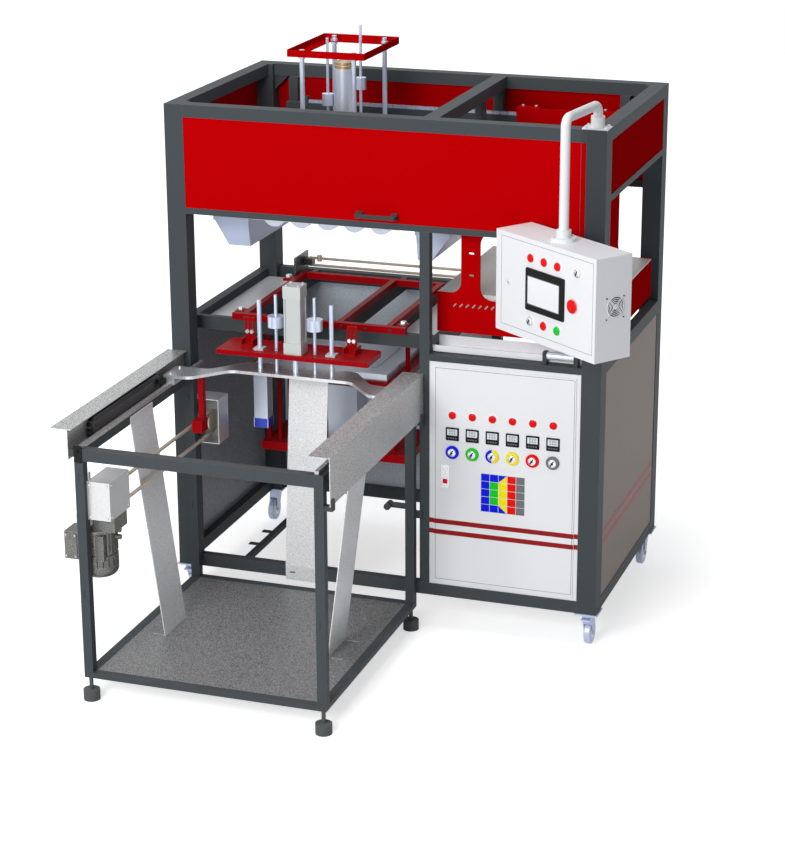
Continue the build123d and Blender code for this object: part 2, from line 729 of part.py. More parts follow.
red_top = mould_top - mould_t
red_low = red_top - mould_plate_t
with BuildPart() as mould_carrier:
    block(press_x - mould_plate_w / 2, press_x + mould_plate_w / 2, press_y - mould_d / 2 - 15,
          press_y + mould_d / 2 + 15, red_low, red_top)
    for px, py in columns_at:
        rod_z(px, py, red_low - 1, red_top + 1, column_r + 1, mode=Mode.SUBTRACT)
    for px, py in guides_at:
        rod_z(px, py, red_low - 1, red_top + 1, guide_r + slip, mode=Mode.SUBTRACT)
    rod_z(press_x, press_y, base_top + 110, red_low, mould_piston_r)
mould_carrier.part.label = "mould_carrier"
export_step(mould_carrier.part, "parts/mould_carrier.step")

insert_in = 70.0
insert_r = 40.0
insert_t = 4.0
with BuildPart() as mould_plate:
    block(press_x - mould_w / 2, press_x + mould_w / 2, press_y - mould_d / 2,
          press_y + mould_d / 2, red_top, mould_top)
    for px, py in guides_at:
        rod_z(px, py, red_top - 1, mould_top - 6, guide_r + 1, mode=Mode.SUBTRACT)
    with BuildSketch(Plane.XY.offset(mould_top)):
        with Locations((x0 + press_x, y0 + press_y)):
            RectangleRounded(mould_w - 2 * insert_in, mould_d - 2 * insert_in, insert_r)
    extrude(amount=insert_t)
mould_plate.part.label = "mould_plate"
export_step(mould_plate.part, "parts/mould_plate.step")

side_cyl_x = press_x - 288.0
side_cyl_y = press_y - base_d / 2 - 65.0
with BuildPart() as mould_side_cylinder:
    block(side_cyl_x - 30, side_cyl_x + 30, side_cyl_y - 30, side_cyl_y + 30, 740, red_low)
    block(side_cyl_x - 32, side_cyl_x + 32, side_cyl_y - 32, side_cyl_y + 32, 700, 740)
mould_side_cylinder.part.label = "mould_side_cylinder"
export_step(mould_side_cylinder.part, "parts/mould_side_cylinder.step")

# Clamp frame on the table, with four levelling lugs
clamp_top = table_z + clamp_h
clamp_d = depth - clamp_back - clamp_y
with BuildPart() as clamp_frame:
    block(clamp_x - 38, clamp_x + clamp_w + 63, clamp_y, clamp_y + bar, table_z, clamp_top)
    block(clamp_x, clamp_x + clamp_w, clamp_y + clamp_d - bar, clamp_y + clamp_d, table_z, clamp_top)
    for bx in beam_at:
        block(bx, bx + bar, clamp_y + bar / 2, clamp_y + clamp_d - bar / 2, table_z, clamp_top)
    for ly in (clamp_y + 60, clamp_y + clamp_d - 120):
        for lx, side in ((clamp_x, -1), (clamp_x + clamp_w, 1)):
            block(min(lx, lx + side * 50), max(lx, lx + side * 50), ly, ly + 45, table_z + 8, table_z + 20)
            rod_z(lx + side * 30, ly + 22, shelf_z + cab_wall, clamp_top, 8)
clamp_frame.part.label = "clamp_frame"
export_step(clamp_frame.part, "parts/clamp_frame.step")

# Stacker frame
legs_at = [(lx, ly) for lx in (st_left, st_right - st_tube) for ly in (st_front, st_back - st_tube)]
left_wall = cover_left + 67.0
right_edge = cover_right + cover_w
right_drop = 185.0
clip_t = 6.0
clip_low = cover_z - right_drop - seat - 3 * clip_t
slot_lows = (420.0, 890.0)
leg_slot_w = 7.0
leg_slot_h = 34.0
leg_slot_deep = 3.0
stub_l = 72.0
stub_z = 532.0
with BuildPart() as stacker_legs:
    for lx, ly in legs_at:
        block(lx, lx + st_tube, ly, ly + st_tube, st_low, st_top)
        for z1 in slot_lows:
            block(lx + st_tube / 2 - leg_slot_w / 2, lx + st_tube / 2 + leg_slot_w / 2, ly - 1,
                  ly + leg_slot_deep, z1, z1 + leg_slot_h, mode=Mode.SUBTRACT)
    # spacers of the left cover and clips of the right one
    for ly in (st_front + 4, st_back - st_tube + 4):
        block(left_wall + cover_t, st_left, ly, ly + 28, cover_z - cover_drop + 12, st_top - 10)
        block(st_right, right_edge + seat + clip_t, ly, ly + 28, clip_low, clip_low + 3 * clip_t)
        block(right_edge + seat, right_edge + seat + clip_t, ly, ly + 28, clip_low, clip_low + 7 * clip_t)
    # pipe stub with a knob on the rear right leg, and ties to the main frame
    rod_x(st_right - st_tube - stub_l, st_right - st_tube, st_back - st_tube / 2, stub_z, 12)
    rod_y(st_right - st_tube - stub_l, st_back - st_tube / 2 - 34, st_back - st_tube / 2 + 14, stub_z, 14)
    for tz in (480.0, 940.0):
        block(st_left, post, st_back - 4, 0, tz, tz + 30)
        block(st_right - st_tube, mid_x + 12, st_back - 4, 0, tz, tz + 30)
stacker_legs.part.label = "stacker_legs"
export_step(stacker_legs.part, "parts/stacker_legs.step")

low_beam_h = 20.0
with BuildPart() as stacker_beams:
    for lx in (st_left, st_right - st_tube):
        block(lx, lx + st_tube, st_front + st_tube, st_back - st_tube, st_top - st_tube, st_top)
        block(lx, lx + st_tube, st_front + st_tube, st_back - st_tube, st_low, st_low + low_beam_h)
    block(st_left + st_tube, st_right - st_tube, st_front, st_front + st_tube, st_top - 47, st_top)
    block(st_left + st_tube, st_right - st_tube, st_front, st_front + st_tube, st_low, st_low + low_beam_h)
    block(st_left + st_tube, st_right - st_tube, st_back - st_tube, st_back, st_low, st_low + low_beam_h)
stacker_beams.part.label = "stacker_beams"
export_step(stacker_beams.part, "parts/stacker_beams.step")

tray_top = st_low + low_beam_h - 2
guide_back = -445.0
st_mid = (st_left + st_right) / 2
with BuildPart() as stacker_tray:
    block(st_left + st_tube, st_right - st_tube, st_front + st_tube, st_back - st_tube,
          tray_top - cover_t, tray_top)
    # slots in which the feet of the side guides are set
    for side in (-1, 1):
        for gy in (guide_back - 12, guide_back - guide_strip + 12):
            with BuildSketch(Plane.XY.offset(tray_top)):
                with Locations((x0 + st_mid + side * (guide_foot + 32), y0 + gy)):
                    SlotOverall(56, 7)
            extrude(amount=-2 * cover_t, mode=Mode.SUBTRACT)
stacker_tray.part.label = "stacker_tray"
export_step(stacker_tray.part, "parts/stacker_tray.step")

# the rear left foot stands further in, clear of the caster that turns beside it
foot_in = 62.0
feet_at = [(lx + st_tube / 2, ly + st_tube / 2) for lx, ly in legs_at]
feet_at[1] = (feet_at[1][0] + foot_in, feet_at[1][1])
with BuildPart() as levelling_feet:
    for fx, fy in feet_at:
        rod_z(fx, fy, 0, foot_h, foot_r)
        rod_z(fx, fy, foot_h, st_low, stem_r)
levelling_feet.part.label = "levelling_feet"
export_step(levelling_feet.part, "parts/levelling_feet.step")

# sheet covers beside the slides: the left one has a wall under its inner half, the right one
# is turned down outside and hooked into clips on the legs
with BuildPart() as stacker_covers:
    block(cover_left, cover_left + cover_w, st_front, -1, cover_z - cover_t, cover_z)
    block(left_wall, left_wall + cover_t, st_front, -1, cover_z - cover_drop, cover_z)
    block(cover_right, right_edge, st_front, -1, cover_z - cover_t, cover_z)
    block(right_edge - cover_t, right_edge, st_front, -1, cover_z - right_drop, cover_z)
stacker_covers.part.label = "stacker_covers"
export_step(stacker_covers.part, "parts/stacker_covers.step")

carrier_y = -905.0
carrier_l = 640.0
carrier_x = left_wall + cover_t + 2.0
carrier_w = 17.0
carrier_h = 86.0
carrier_z = cover_z - 11.0 - carrier_h / 2
with BuildPart() as cable_carrier:
    with BuildSketch(Plane.YZ.offset(x0 + carrier_x)):
        with Locations((y0 + carrier_y + carrier_l / 2, carrier_z)):
            SlotOverall(carrier_l, carrier_h)
            SlotOverall(carrier_l - 36, carrier_h - 36, mode=Mode.SUBTRACT)
    extrude(amount=carrier_w)
    block(carrier_x, st_left, carrier_y + 100, carrier_y + 130, carrier_z - carrier_h / 2,
          carrier_z - carrier_h / 2 + 16)
cable_carrier.part.label = "cable_carrier"
export_step(cable_carrier.part, "parts/cable_carrier.step")

# gearmotor under the front chain box: gear housing, finned motor, round cowl, terminal box
motor_x = 103.0
motor_y = chain_front + 10.0
motor_r = 66.0
fin = 6.0
fin_count = 28
motor_low = 482.0
cowl_h = 88.0
housing_z = 675.0
with BuildPart() as gearmotor:
    rod_z(motor_x, motor_y, motor_low, motor_low + cowl_h, motor_r + fin)
    cowl_rim = gearmotor.edges().filter_by(GeomType.CIRCLE).sort_by(Axis.Z)[0]
    fillet(cowl_rim, 30)
    rod_z(motor_x, motor_y, motor_low + cowl_h, housing_z, motor_r)
    with Locations((x0 + motor_x, y0 + motor_y, motor_low + cowl_h + 10)):
        with PolarLocations(motor_r, fin_count):
            Box(2 * fin, 3, housing_z - motor_low - cowl_h - 20,
                align=(Align.CENTER, Align.CENTER, Align.MIN))
    rod_z(motor_x, motor_y, housing_z - 12, housing_z, motor_r + fin)
    block(motor_x - 62, guard_right - guard_t, motor_y - 55, motor_y + 55, housing_z, 733)
    block(cover_left, motor_x - motor_r + 8, motor_y - 45, motor_y + 45, 545, 655)
    block(motor_x + 18, motor_x + 52, motor_y - motor_r - fin, motor_y - 30, 560, 660)
    for kz in (640, 668):
        rod_x(motor_x + motor_r - 6, motor_x + motor_r + 26, motor_y, kz, 10)
gearmotor.part.label = "gearmotor"
export_step(gearmotor.part, "parts/gearmotor.step")

# guides of the stack: two side strips that lean outwards from their feet on the tray to the
# top beams, and a strip in the middle that leans back from the frame's low rail
knee_z = st_top - st_tube
strip_top = st_top - 6.0
middle_top = 985.0
middle_lean = 80.0
with BuildPart() as stack_guides:
    for side in (-1, 1):
        foot_x = x0 + st_mid + side * guide_foot
        beam_x = x0 + st_mid + side * (st_w / 2 - st_tube)
        with BuildSketch(Plane.XZ.offset(-(y0 + guide_back))):
            with BuildLine():
                Polyline(
                    (foot_x, tray_top),
                    (beam_x, knee_z),
                    (beam_x, strip_top),
                    (beam_x - side * sheet, strip_top),
                    (beam_x - side * sheet, knee_z),
                    (foot_x - side * sheet, tray_top),
                    close=True,
                )
            make_face()
        extrude(amount=guide_strip)
    with BuildSketch(Plane.YZ.offset(x0 + lift_x - 84)):
        with BuildLine():
            Polyline(
                (y0, low_rail_top - 62),
                (y0, low_rail_top),
                (y0 + middle_lean, middle_top),
                (y0 + middle_lean - sheet, middle_top),
                (y0 - sheet, low_rail_top),
                (y0 - sheet, low_rail_top - 62),
                close=True,
            )
        make_face()
    extrude(amount=168)
    for sx in (-55, 55):
        with BuildSketch(Plane.XZ.offset(-(y0 + 1))):
            with Locations((x0 + lift_x + sx, low_rail_top - 28)):
                SlotOverall(26, 7)
        extrude(amount=2 * sheet, mode=Mode.SUBTRACT)
stack_guides.part.label = "stack_guides"
export_step(stack_guides.part, "parts/stack_guides.step")

# Take-off unit
bow_low = bow_top - bow_t
with BuildPart() as takeoff_bow:
    with BuildSketch(Plane.XY.offset(bow_low)) as bow_sketch:
        with BuildLine():
            hw = bow_w / 2
            cx = x0 + bow_x1 + hw
            Polyline(
                (cx - hw, y0 + bow_end_y), (cx - hw + 110, y0 + bow_end_y),
                (cx - hw + 230, y0 + bow_mid_y), (cx + hw - 230, y0 + bow_mid_y),
                (cx + hw - 110, y0 + bow_end_y), (cx + hw, y0 + bow_end_y),
                (cx + hw, y0 + bow_end_y + 125), (cx + hw - 145, y0 + bow_end_y + 125),
                (cx + hw - 255, y0 + bow_mid_y + 130), (cx - hw + 255, y0 + bow_mid_y + 130),
                (cx - hw + 145, y0 + bow_end_y + 125), (cx - hw, y0 + bow_end_y + 125),
                (cx - hw, y0 + bow_end_y),
            )
        make_face()
        inner = [v for v in bow_sketch.vertices() if abs(v.X - cx) < hw - 50]
        fillet(inner, 60)
    extrude(amount=bow_t)
takeoff_bow.part.label = "takeoff_bow"
export_step(takeoff_bow.part, "parts/takeoff_bow.step")

with BuildPart() as takeoff_blocks:
    for rx in (st_left + 20, st_right - st_tube):
        block(rx - 9, rx + slide_w + 9, bow_end_y + 8, bow_end_y + 115, st_top + 3, bow_low)
        block(rx - seat, rx + slide_w + seat, bow_end_y, bow_end_y + 120, st_top,
              st_top + slide_h + seat, mode=Mode.SUBTRACT)
takeoff_blocks.part.label = "takeoff_blocks"
export_step(takeoff_blocks.part, "parts/takeoff_blocks.step")

arm_right = 208.0
arm_back = -148.0
with BuildPart() as takeoff_arm:
    block(arm_right - 20, arm_right, arm_back - 30, arm_back, chain_top - 12, bow_low)
    block(chain_x + half + 2, arm_right, arm_back - 50, arm_back + 12, chain_top - 24, chain_top + 26)
takeoff_arm.part.label = "takeoff_arm"
export_step(takeoff_arm.part, "parts/takeoff_arm.step")

lift_rod_top = 1350.0
with BuildPart() as takeoff_rods:
    for sx in (-lift_rod_dx, -thin_rod_dx, thin_rod_dx, lift_rod_dx):
        rod_z(lift_x + sx, lift_y, bow_low - 8, bow_low, lift_rod_r + 4)
    for sx in (-lift_rod_dx, lift_rod_dx):
        rod_z(lift_x + sx, lift_y, bow_top, lift_rod_top, lift_rod_r)
    for sx in (-thin_rod_dx, thin_rod_dx):
        rod_z(lift_x + sx, lift_y, bow_top, lift_rod_top + 25, thin_rod_r)
        rod_z(lift_x + sx, lift_y, lift_top + 100, lift_top + 145, 33)
    rod_z(lift_x, lift_y, bow_top, lift_top + 120, lift_piston_r)
takeoff_rods.part.label = "takeoff_rods"
export_step(takeoff_rods.part, "parts/takeoff_rods.step")

# red plate with two rows of slots and two brackets: a channel foot and a slotted upright
lift_back = lift_y - 50 + lift_d
bracket_w = 52.0
bracket_h = 112.0
bracket_y = lift_y + 20.0
foot_wall = 5.0
with BuildPart() as lift_plate:
    with BuildSketch(Plane.XY.offset(lift_top - lift_t)) as plate_shape:
        with Locations((x0 + lift_x, y0 + lift_back - lift_d / 2)):
            Rectangle(lift_w, lift_d)
        fillet(plate_shape.vertices().group_by(Axis.Y)[-1], 24)
        for row in (20, 42):
            with Locations((x0 + lift_x, y0 + lift_back - row)):
                with GridLocations(150, 1, 4, 1):
                    SlotOverall(100, 7, mode=Mode.SUBTRACT)
        for sx in (-lift_rod_dx, lift_rod_dx):
            with Locations((x0 + lift_x + sx, y0 + lift_y)):
                Circle(lift_rod_r + slip, mode=Mode.SUBTRACT)
        for sx in (-thin_rod_dx, thin_rod_dx):
            with Locations((x0 + lift_x + sx, y0 + lift_y)):
                Circle(thin_rod_r + 1, mode=Mode.SUBTRACT)
        with Locations((x0 + lift_x, y0 + lift_y)):
            Circle(lift_piston_r + 1, mode=Mode.SUBTRACT)
    extrude(amount=lift_t)
    for bx in (lift_x - bracket_dx, lift_x + bracket_dx):
        with BuildSketch(Plane.XZ.offset(-(y0 + bracket_y + 72))):
            with Locations((x0 + bx, lift_top + 14)):
                Rectangle(bracket_w, 28)
            with Locations((x0 + bx, lift_top + 14 + foot_wall)):
                Rectangle(bracket_w - 2 * foot_wall, 28, mode=Mode.SUBTRACT)
        extrude(amount=72)
        with BuildSketch(Plane.XZ.offset(-(y0 + bracket_y + 40))):
            with Locations((x0 + bx, lift_top + bracket_h / 2)):
                Rectangle(bracket_w - 2 * foot_wall, bracket_h)
            with Locations((x0 + bx, lift_top + bracket_h / 2 + 12)):
                with GridLocations(19, 1, 2, 1):
                    SlotOverall(62, 7, rotation=90, mode=Mode.SUBTRACT)
        extrude(amount=foot_wall)
lift_plate.part.label = "lift_plate"
export_step(lift_plate.part, "parts/lift_plate.step")

lift_cylinder_h = 279.0
with BuildPart() as lift_cylinder:
    block(lift_x - 37, lift_x + 37, lift_y - 37, lift_y + 37, lift_top, lift_top + 45)
    block(lift_x - 30, lift_x + 30, lift_y - 30, lift_y + 30, lift_top, lift_top + lift_cylinder_h)
    block(lift_x - 37, lift_x + 37, lift_y - 37, lift_y + 37, lift_top + lift_cylinder_h - 50,
          lift_top + lift_cylinder_h)
    rod_z(lift_x, lift_y, lift_top - 1, lift_top + lift_cylinder_h - 50, lift_piston_r + slip,
          mode=Mode.SUBTRACT)
    # tie rods at the corners, and square bushings round the guide rods
    for sx in (-32, 32):
        for sy in (-32, 32):
            rod_z(lift_x + sx, lift_y + sy, lift_top + 45, lift_top + lift_cylinder_h - 50, 4)
    for sx in (-lift_rod_dx, lift_rod_dx):
        block(lift_x + sx - 20, lift_x + sx + 20, lift_y - 20, lift_y + 20, lift_top, lift_top + 9)
        rod_z(lift_x + sx, lift_y, lift_top - 1, lift_top + 10, lift_rod_r + slip, mode=Mode.SUBTRACT)
lift_cylinder.part.label = "lift_cylinder"
export_step(lift_cylinder.part, "parts/lift_cylinder.step")

# Control box on its swivel arm
with BuildPart() as arm_base:
    block(arm_x - 50, arm_x + 50, 5, 75, height, height + 5)
    rod_z(arm_x, arm_y, height + 5, height + 45, 26)
arm_base.part.label = "arm_base"
export_step(arm_base.part, "parts/arm_base.step")

with BuildPart() as box_arm:
    with BuildLine():
        arm_path = FilletPolyline(
            (x0 + arm_x, y0 + arm_y, height + 45 + seat),
            (x0 + arm_x, y0 + arm_y, arm_z),
            (x0 + box_x, y0 + box_y, arm_z),
            (x0 + box_x, y0 + box_y, box_top + 40 + seat),
            radius=34,
        )
    with BuildSketch(Plane(origin=arm_path @ 0, z_dir=arm_path % 0)):
        Circle(pipe_r)
    sweep()
box_arm.part.label = "box_arm"
export_step(box_arm.part, "parts/box_arm.step")

box_plane = Plane(
    origin=(x0 + box_x, y0 + box_y, box_top - box_h),
    x_dir=(cos(radians(box_turn)), sin(radians(box_turn)), 0),
    z_dir=(0, 0, 1),
)
low_align = (Align.CENTER, Align.CENTER, Align.MIN)
front_align = (Align.CENTER, Align.MAX, Align.MIN)
with BuildPart(box_plane) as control_box:
    Box(box_w, box_d, box_h, align=low_align)
    with Locations((0, -box_wall, box_wall)):
        Box(box_w - 2 * box_wall, box_d, box_h - 2 * box_wall, align=low_align, mode=Mode.SUBTRACT)
    with Locations((0, 0, box_h)):
        Cylinder(48, 14, align=low_align)
        Cylinder(28, 40, align=low_align)
control_box.part.label = "control_box"
export_step(control_box.part, "parts/control_box.step")

with BuildPart(box_plane) as box_door:
    with Locations((0, -box_d / 2 - seat, 0)):
        Box(box_w, 3, box_h, align=front_align)
box_door.part.label = "box_door"
export_step(box_door.part, "parts/box_door.step")

face_y = -box_d / 2 - seat - 3
# top row of lamps and a switch, the emergency stop, the bottom row, and the lock on the left
buttons = [(-82, 318, 17), (-3, 318, 17), (76, 318, 17), (190, 318, 17), (166, 189, 26),
           (-82, 75, 16), (-1, 75, 14), (78, 75, 14), (-214, 197, 9)]
with BuildPart(box_plane) as box_controls:
    with Locations((4, face_y, 117)):
        Box(226, 6, 162, align=front_align)
    for bx, bz, br in buttons:
        with Locations(Location((bx, face_y, bz), (90, 0, 0))):
            Cylinder(br, 12, align=low_align)
box_controls.part.label = "box_controls"
export_step(box_controls.part, "parts/box_controls.step")
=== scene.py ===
# %% [markdown]
# A thermoforming machine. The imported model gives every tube, plate and cylinder, and this
# script adds paint, sheet grain, screws, lamps, buttons and the other small pieces. Each
# cell does one step and prints what it made.

# %% Load the frame
import bpy
import bmesh
from math import cos, pi, radians, sin
from mathutils import Matrix, Vector


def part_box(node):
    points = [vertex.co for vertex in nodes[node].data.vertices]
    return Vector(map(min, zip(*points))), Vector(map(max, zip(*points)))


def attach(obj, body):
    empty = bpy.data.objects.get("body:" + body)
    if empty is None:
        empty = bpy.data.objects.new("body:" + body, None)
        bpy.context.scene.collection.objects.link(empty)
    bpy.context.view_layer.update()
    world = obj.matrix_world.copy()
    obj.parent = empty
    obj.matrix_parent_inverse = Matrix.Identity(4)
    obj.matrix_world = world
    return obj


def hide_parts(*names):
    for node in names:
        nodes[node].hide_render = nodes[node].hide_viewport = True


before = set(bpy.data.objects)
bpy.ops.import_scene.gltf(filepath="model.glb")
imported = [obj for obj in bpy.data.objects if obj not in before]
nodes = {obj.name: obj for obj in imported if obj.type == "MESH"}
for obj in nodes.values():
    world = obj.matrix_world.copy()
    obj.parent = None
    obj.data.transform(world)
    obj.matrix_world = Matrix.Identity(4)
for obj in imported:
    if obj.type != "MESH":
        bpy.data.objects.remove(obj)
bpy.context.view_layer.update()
scene = bpy.context.scene

# %% [markdown]
# Places are easiest to read from the main frame's front left corner: X to the right, Y to
# the back, Z up from the floor. The long rails begin at its front face and the cross rails
# at its left face, so those two nodes give the corner.

# %% Corner of the main frame
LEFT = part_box("cross_rails")[0][0]
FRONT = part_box("long_rails")[0][1]
MM = 0.001


def place(x, y, z):
    """A point counted in millimetres from the main frame's front left corner."""
    return Vector((LEFT + x * MM, FRONT + y * MM, z * MM))


def reach(node):
    """A node's low and high corners, in millimetres from the same corner."""
    low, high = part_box(node)
    corner = Vector((LEFT, FRONT, 0))
    return (Vector(low) - corner) / MM, (Vector(high) - corner) / MM


print("corner at", round(LEFT, 3), round(FRONT, 3))

# %% [markdown]
# The camera stands to the right and well above the machine and looks down at it. A long
# lens from about ten metres keeps the perspective weak. The angles and the distance were
# worked out from the corners of the frame.

# %% Camera
IMAGE_W = 785
FOCAL_PX = 2346.25
YAW, PITCH, ROLL = radians(19.031), radians(18.514), radians(-0.268)
CAMERA_AT = (3842.9, -8385.9, 3849.8)
camera_data = bpy.data.cameras.new("camera")
camera_data.sensor_fit = "HORIZONTAL"
camera_data.sensor_width = 36.0
camera_data.lens = FOCAL_PX / IMAGE_W * camera_data.sensor_width
camera_data.clip_end = 60.0
camera = bpy.data.objects.new("camera", camera_data)
scene.collection.objects.link(camera)
view_dir = Vector((-sin(YAW) * cos(PITCH), cos(YAW) * cos(PITCH), -sin(PITCH)))
side = Vector((cos(YAW), sin(YAW), 0.0))
up = side.cross(view_dir)
side_rolled = side * cos(ROLL) + up * sin(ROLL)
up_rolled = up * cos(ROLL) - side * sin(ROLL)
turn = Matrix((side_rolled, up_rolled, -view_dir)).transposed()
camera.matrix_world = Matrix.Translation(place(*CAMERA_AT)) @ turn.to_4x4()
scene.camera = camera
print("lens", round(camera_data.lens, 1), "mm")

# %% [markdown]
# This is a studio view on pure white. What the camera and reflections see of the floor is
# its own shading plus a glow. The glow is weak near the machine, so the soft shadow under
# the feet stays, and grows to full white further out, so no horizon shows. For light that
# scatters the floor is plain and pale, so the glow hardly lights the machine.

# %% Helpers for the stage
def link(obj):
    scene.collection.objects.link(obj)
    return obj


def add(tree, kind):
    return tree.nodes.new("ShaderNode" + kind)


def wire(tree, *ends):
    """Links outputs to inputs, given in turn."""
    for source, target in zip(ends[::2], ends[1::2]):
        tree.links.new(source, target)


def set_inputs(node, values):
    for socket, value in values.items():
        node.inputs[socket].default_value = value


def only_seen(tree, shown, lit):
    """Shows one shader to the camera and in reflections, and another to all other rays."""
    path = add(tree, "LightPath")
    seen_by = path.outputs["Is Camera Ray"]
    for ray in ("Is Glossy Ray", "Is Transmission Ray"):
        either = add(tree, "Math")
        either.operation = "MAXIMUM"
        wire(tree, seen_by, either.inputs[0], path.outputs[ray], either.inputs[1])
        seen_by = either.outputs[0]
    mix = add(tree, "MixShader")
    wire(tree, seen_by, mix.inputs["Fac"], lit, mix.inputs[1], shown, mix.inputs[2])
    return mix.outputs[0]


print("stage helpers ready")

# %% [markdown]
# The floor is one large square. Its glow depends only on the distance from the middle.

# %% Floor
FLOOR_HALF = 14.0
GLOW_NEAR, GLOW_FAR = 1.0, 3.4
GLOW_LOW, GLOW_HIGH = 0.58, 1.0
floor_bm = bmesh.new()
bmesh.ops.create_grid(floor_bm, x_segments=1, y_segments=1, size=FLOOR_HALF)
floor_mesh = bpy.data.meshes.new("floor")
floor_bm.to_mesh(floor_mesh)
floor_bm.free()
floor = link(bpy.data.objects.new("floor", floor_mesh))
floor_mat = bpy.data.materials.new("floor_white")
floor_mat.use_nodes = True
floor_tree = floor_mat.node_tree
floor_shader = floor_tree.nodes["Principled BSDF"]
FLOOR_LOOK = {"Base Color": (0.86, 0.86, 0.86, 1), "Roughness": 0.9, "Specular IOR Level": 0.1}
set_inputs(floor_shader, FLOOR_LOOK)
floor_spot = add(floor_tree, "TexCoord")
distance = add(floor_tree, "VectorMath")
distance.operation = "LENGTH"
ramp = add(floor_tree, "MapRange")
ramp.interpolation_type = "SMOOTHSTEP"
set_inputs(ramp, {"From Min": GLOW_NEAR, "From Max": GLOW_FAR, "To Min": GLOW_LOW, "To Max": GLOW_HIGH})
glow = add(floor_tree, "Emission")
wire(floor_tree, floor_spot.outputs["Object"], distance.inputs[0], distance.outputs["Value"],
     ramp.inputs["Value"], ramp.outputs[0], glow.inputs["Strength"])
floor_sum = add(floor_tree, "AddShader")
wire(floor_tree, floor_shader.outputs[0], floor_sum.inputs[0], glow.outputs[0], floor_sum.inputs[1])
floor_out = floor_tree.nodes["Material Output"]
floor_look = only_seen(floor_tree, floor_sum.outputs[0], floor_shader.outputs[0])
wire(floor_tree, floor_look, floor_out.inputs[0])
floor.data.materials.append(floor_mat)
print("floor", 2 * FLOOR_HALF, "m wide")

# %% [markdown]
# The room is full white to the camera and in reflections. As a light it is dim and slightly
# cool, so that the lamps and not the room shape the machine.

# %% World
ROOM_STRENGTH = 0.26
world = bpy.data.worlds.new("studio")
scene.world = world
world.use_nodes = True
sky = world.node_tree
seen = sky.nodes["Background"]
set_inputs(seen, {"Color": (1, 1, 1, 1), "Strength": 1.0})
room = add(sky, "Background")
set_inputs(room, {"Color": (0.93, 0.96, 1.0, 1), "Strength": ROOM_STRENGTH})
wire(sky, only_seen(sky, seen.outputs[0], room.outputs[0]), sky.nodes["World Output"].inputs[0])
scene.view_settings.view_transform = "Standard"
print("room strength", ROOM_STRENGTH)

# %% [markdown]
# The front faces are bright and the right-hand faces dark, so the key lamp is large and in
# front, with a faint fill from the left and one lamp above.

# %% Lamps
MIDDLE = Vector((0, 0, 1.1))
LAMPS = (("key", (-0.8, -6.6, 3.7), (3.0, 2.4), 335), ("fill", (-5.4, -2.6, 2.6), (2.6, 2.6), 25),
         ("top", (-0.4, -0.2, 6.2), (3.6, 3.0), 110))
for name, spot, size, watts in LAMPS:
    lamp_data = bpy.data.lights.new(name, "AREA")
    lamp_data.shape = "RECTANGLE"
    lamp_data.size, lamp_data.size_y = size
    lamp_data.energy = watts
    lamp = link(bpy.data.objects.new(name, lamp_data))
    lamp.location = spot
    lamp.rotation_euler = (MIDDLE - Vector(spot)).to_track_quat("-Z", "Y").to_euler()
print(len(LAMPS), "lamps")

# %% [markdown]
# Up close, tube, sheet and castings show edges that catch the light, a fine grain, faint
# dust on what faces up, and on ground metal the marks of the belt. Each is a node group,
# made once. The edge mask compares the real normal with one rounded by a small radius.
# The finishes paint their edges lighter with it: a painted highlight, with rubbed paint.


# %% Helpers for node trees
def new_group(name, inputs, outputs):
    group = bpy.data.node_groups.new(name, "ShaderNodeTree")
    for socket, value in inputs:
        made = group.interface.new_socket(socket, in_out="INPUT", socket_type="NodeSocketFloat")
        made.default_value = value
    for socket in outputs:
        group.interface.new_socket(socket, in_out="OUTPUT", socket_type="NodeSocketFloat")
    ends = group.nodes.new("NodeGroupInput"), group.nodes.new("NodeGroupOutput")
    return group, ends[0], ends[1]


def math(tree, operation, a, b=None, clamp=False):
    node = add(tree, "Math")
    node.operation = operation
    node.use_clamp = clamp
    for slot, value in enumerate((a, b)):
        if value is None:
            continue
        if isinstance(value, (int, float)):
            node.inputs[slot].default_value = value
        else:
            wire(tree, value, node.inputs[slot])
    return node.outputs[0]


def noise(tree, scale, detail=3.0, rough=0.6, stretch=None):
    """Noise over the object's own space, drawn out along an axis where stretch says so."""
    where = add(tree, "TexCoord").outputs["Object"]
    if stretch is not None:
        mapping = add(tree, "Mapping")
        mapping.inputs["Scale"].default_value = stretch
        wire(tree, where, mapping.inputs["Vector"])
        where = mapping.outputs[0]
    node = add(tree, "TexNoise")
    set_inputs(node, {"Detail": detail, "Roughness": rough})
    if isinstance(scale, (int, float)):
        node.inputs["Scale"].default_value = scale
    else:
        wire(tree, scale, node.inputs["Scale"])
    wire(tree, where, node.inputs["Vector"])
    return node.outputs["Fac"]


print("node helpers ready")

# %% Node groups
# Edge mask for painted highlight and rubbed paint: lighter colour along edges, broken up by noise.
edge_group, g_in, g_out = new_group("edge_wear_and_highlight", [("Radius", 0.002), ("Breakup", 60.0)], ["Mask"])
bevel = add(edge_group, "Bevel")
bevel.samples = 4
wire(edge_group, g_in.outputs["Radius"], bevel.inputs["Radius"])
flat = add(edge_group, "NewGeometry")
dot = add(edge_group, "VectorMath")
dot.operation = "DOT_PRODUCT"
wire(edge_group, bevel.outputs[0], dot.inputs[0], flat.outputs["Normal"], dot.inputs[1])
gap = math(edge_group, "SUBTRACT", 1.0, dot.outputs["Value"], clamp=True)
worn_and_lit = math(edge_group, "MULTIPLY", gap, 5.0)
patch = noise(edge_group, g_in.outputs["Breakup"])
wire(edge_group, math(edge_group, "MULTIPLY", worn_and_lit, patch, clamp=True), g_out.inputs["Mask"])

grain_group, g_in, g_out = new_group("fine_grain", [("Scale", 400.0), ("Contrast", 1.0)], ["Value"])
raw = math(grain_group, "SUBTRACT", noise(grain_group, g_in.outputs["Scale"], 2.0), 0.5)
wire(grain_group, math(grain_group, "MULTIPLY", raw, g_in.outputs["Contrast"]), g_out.inputs["Value"])

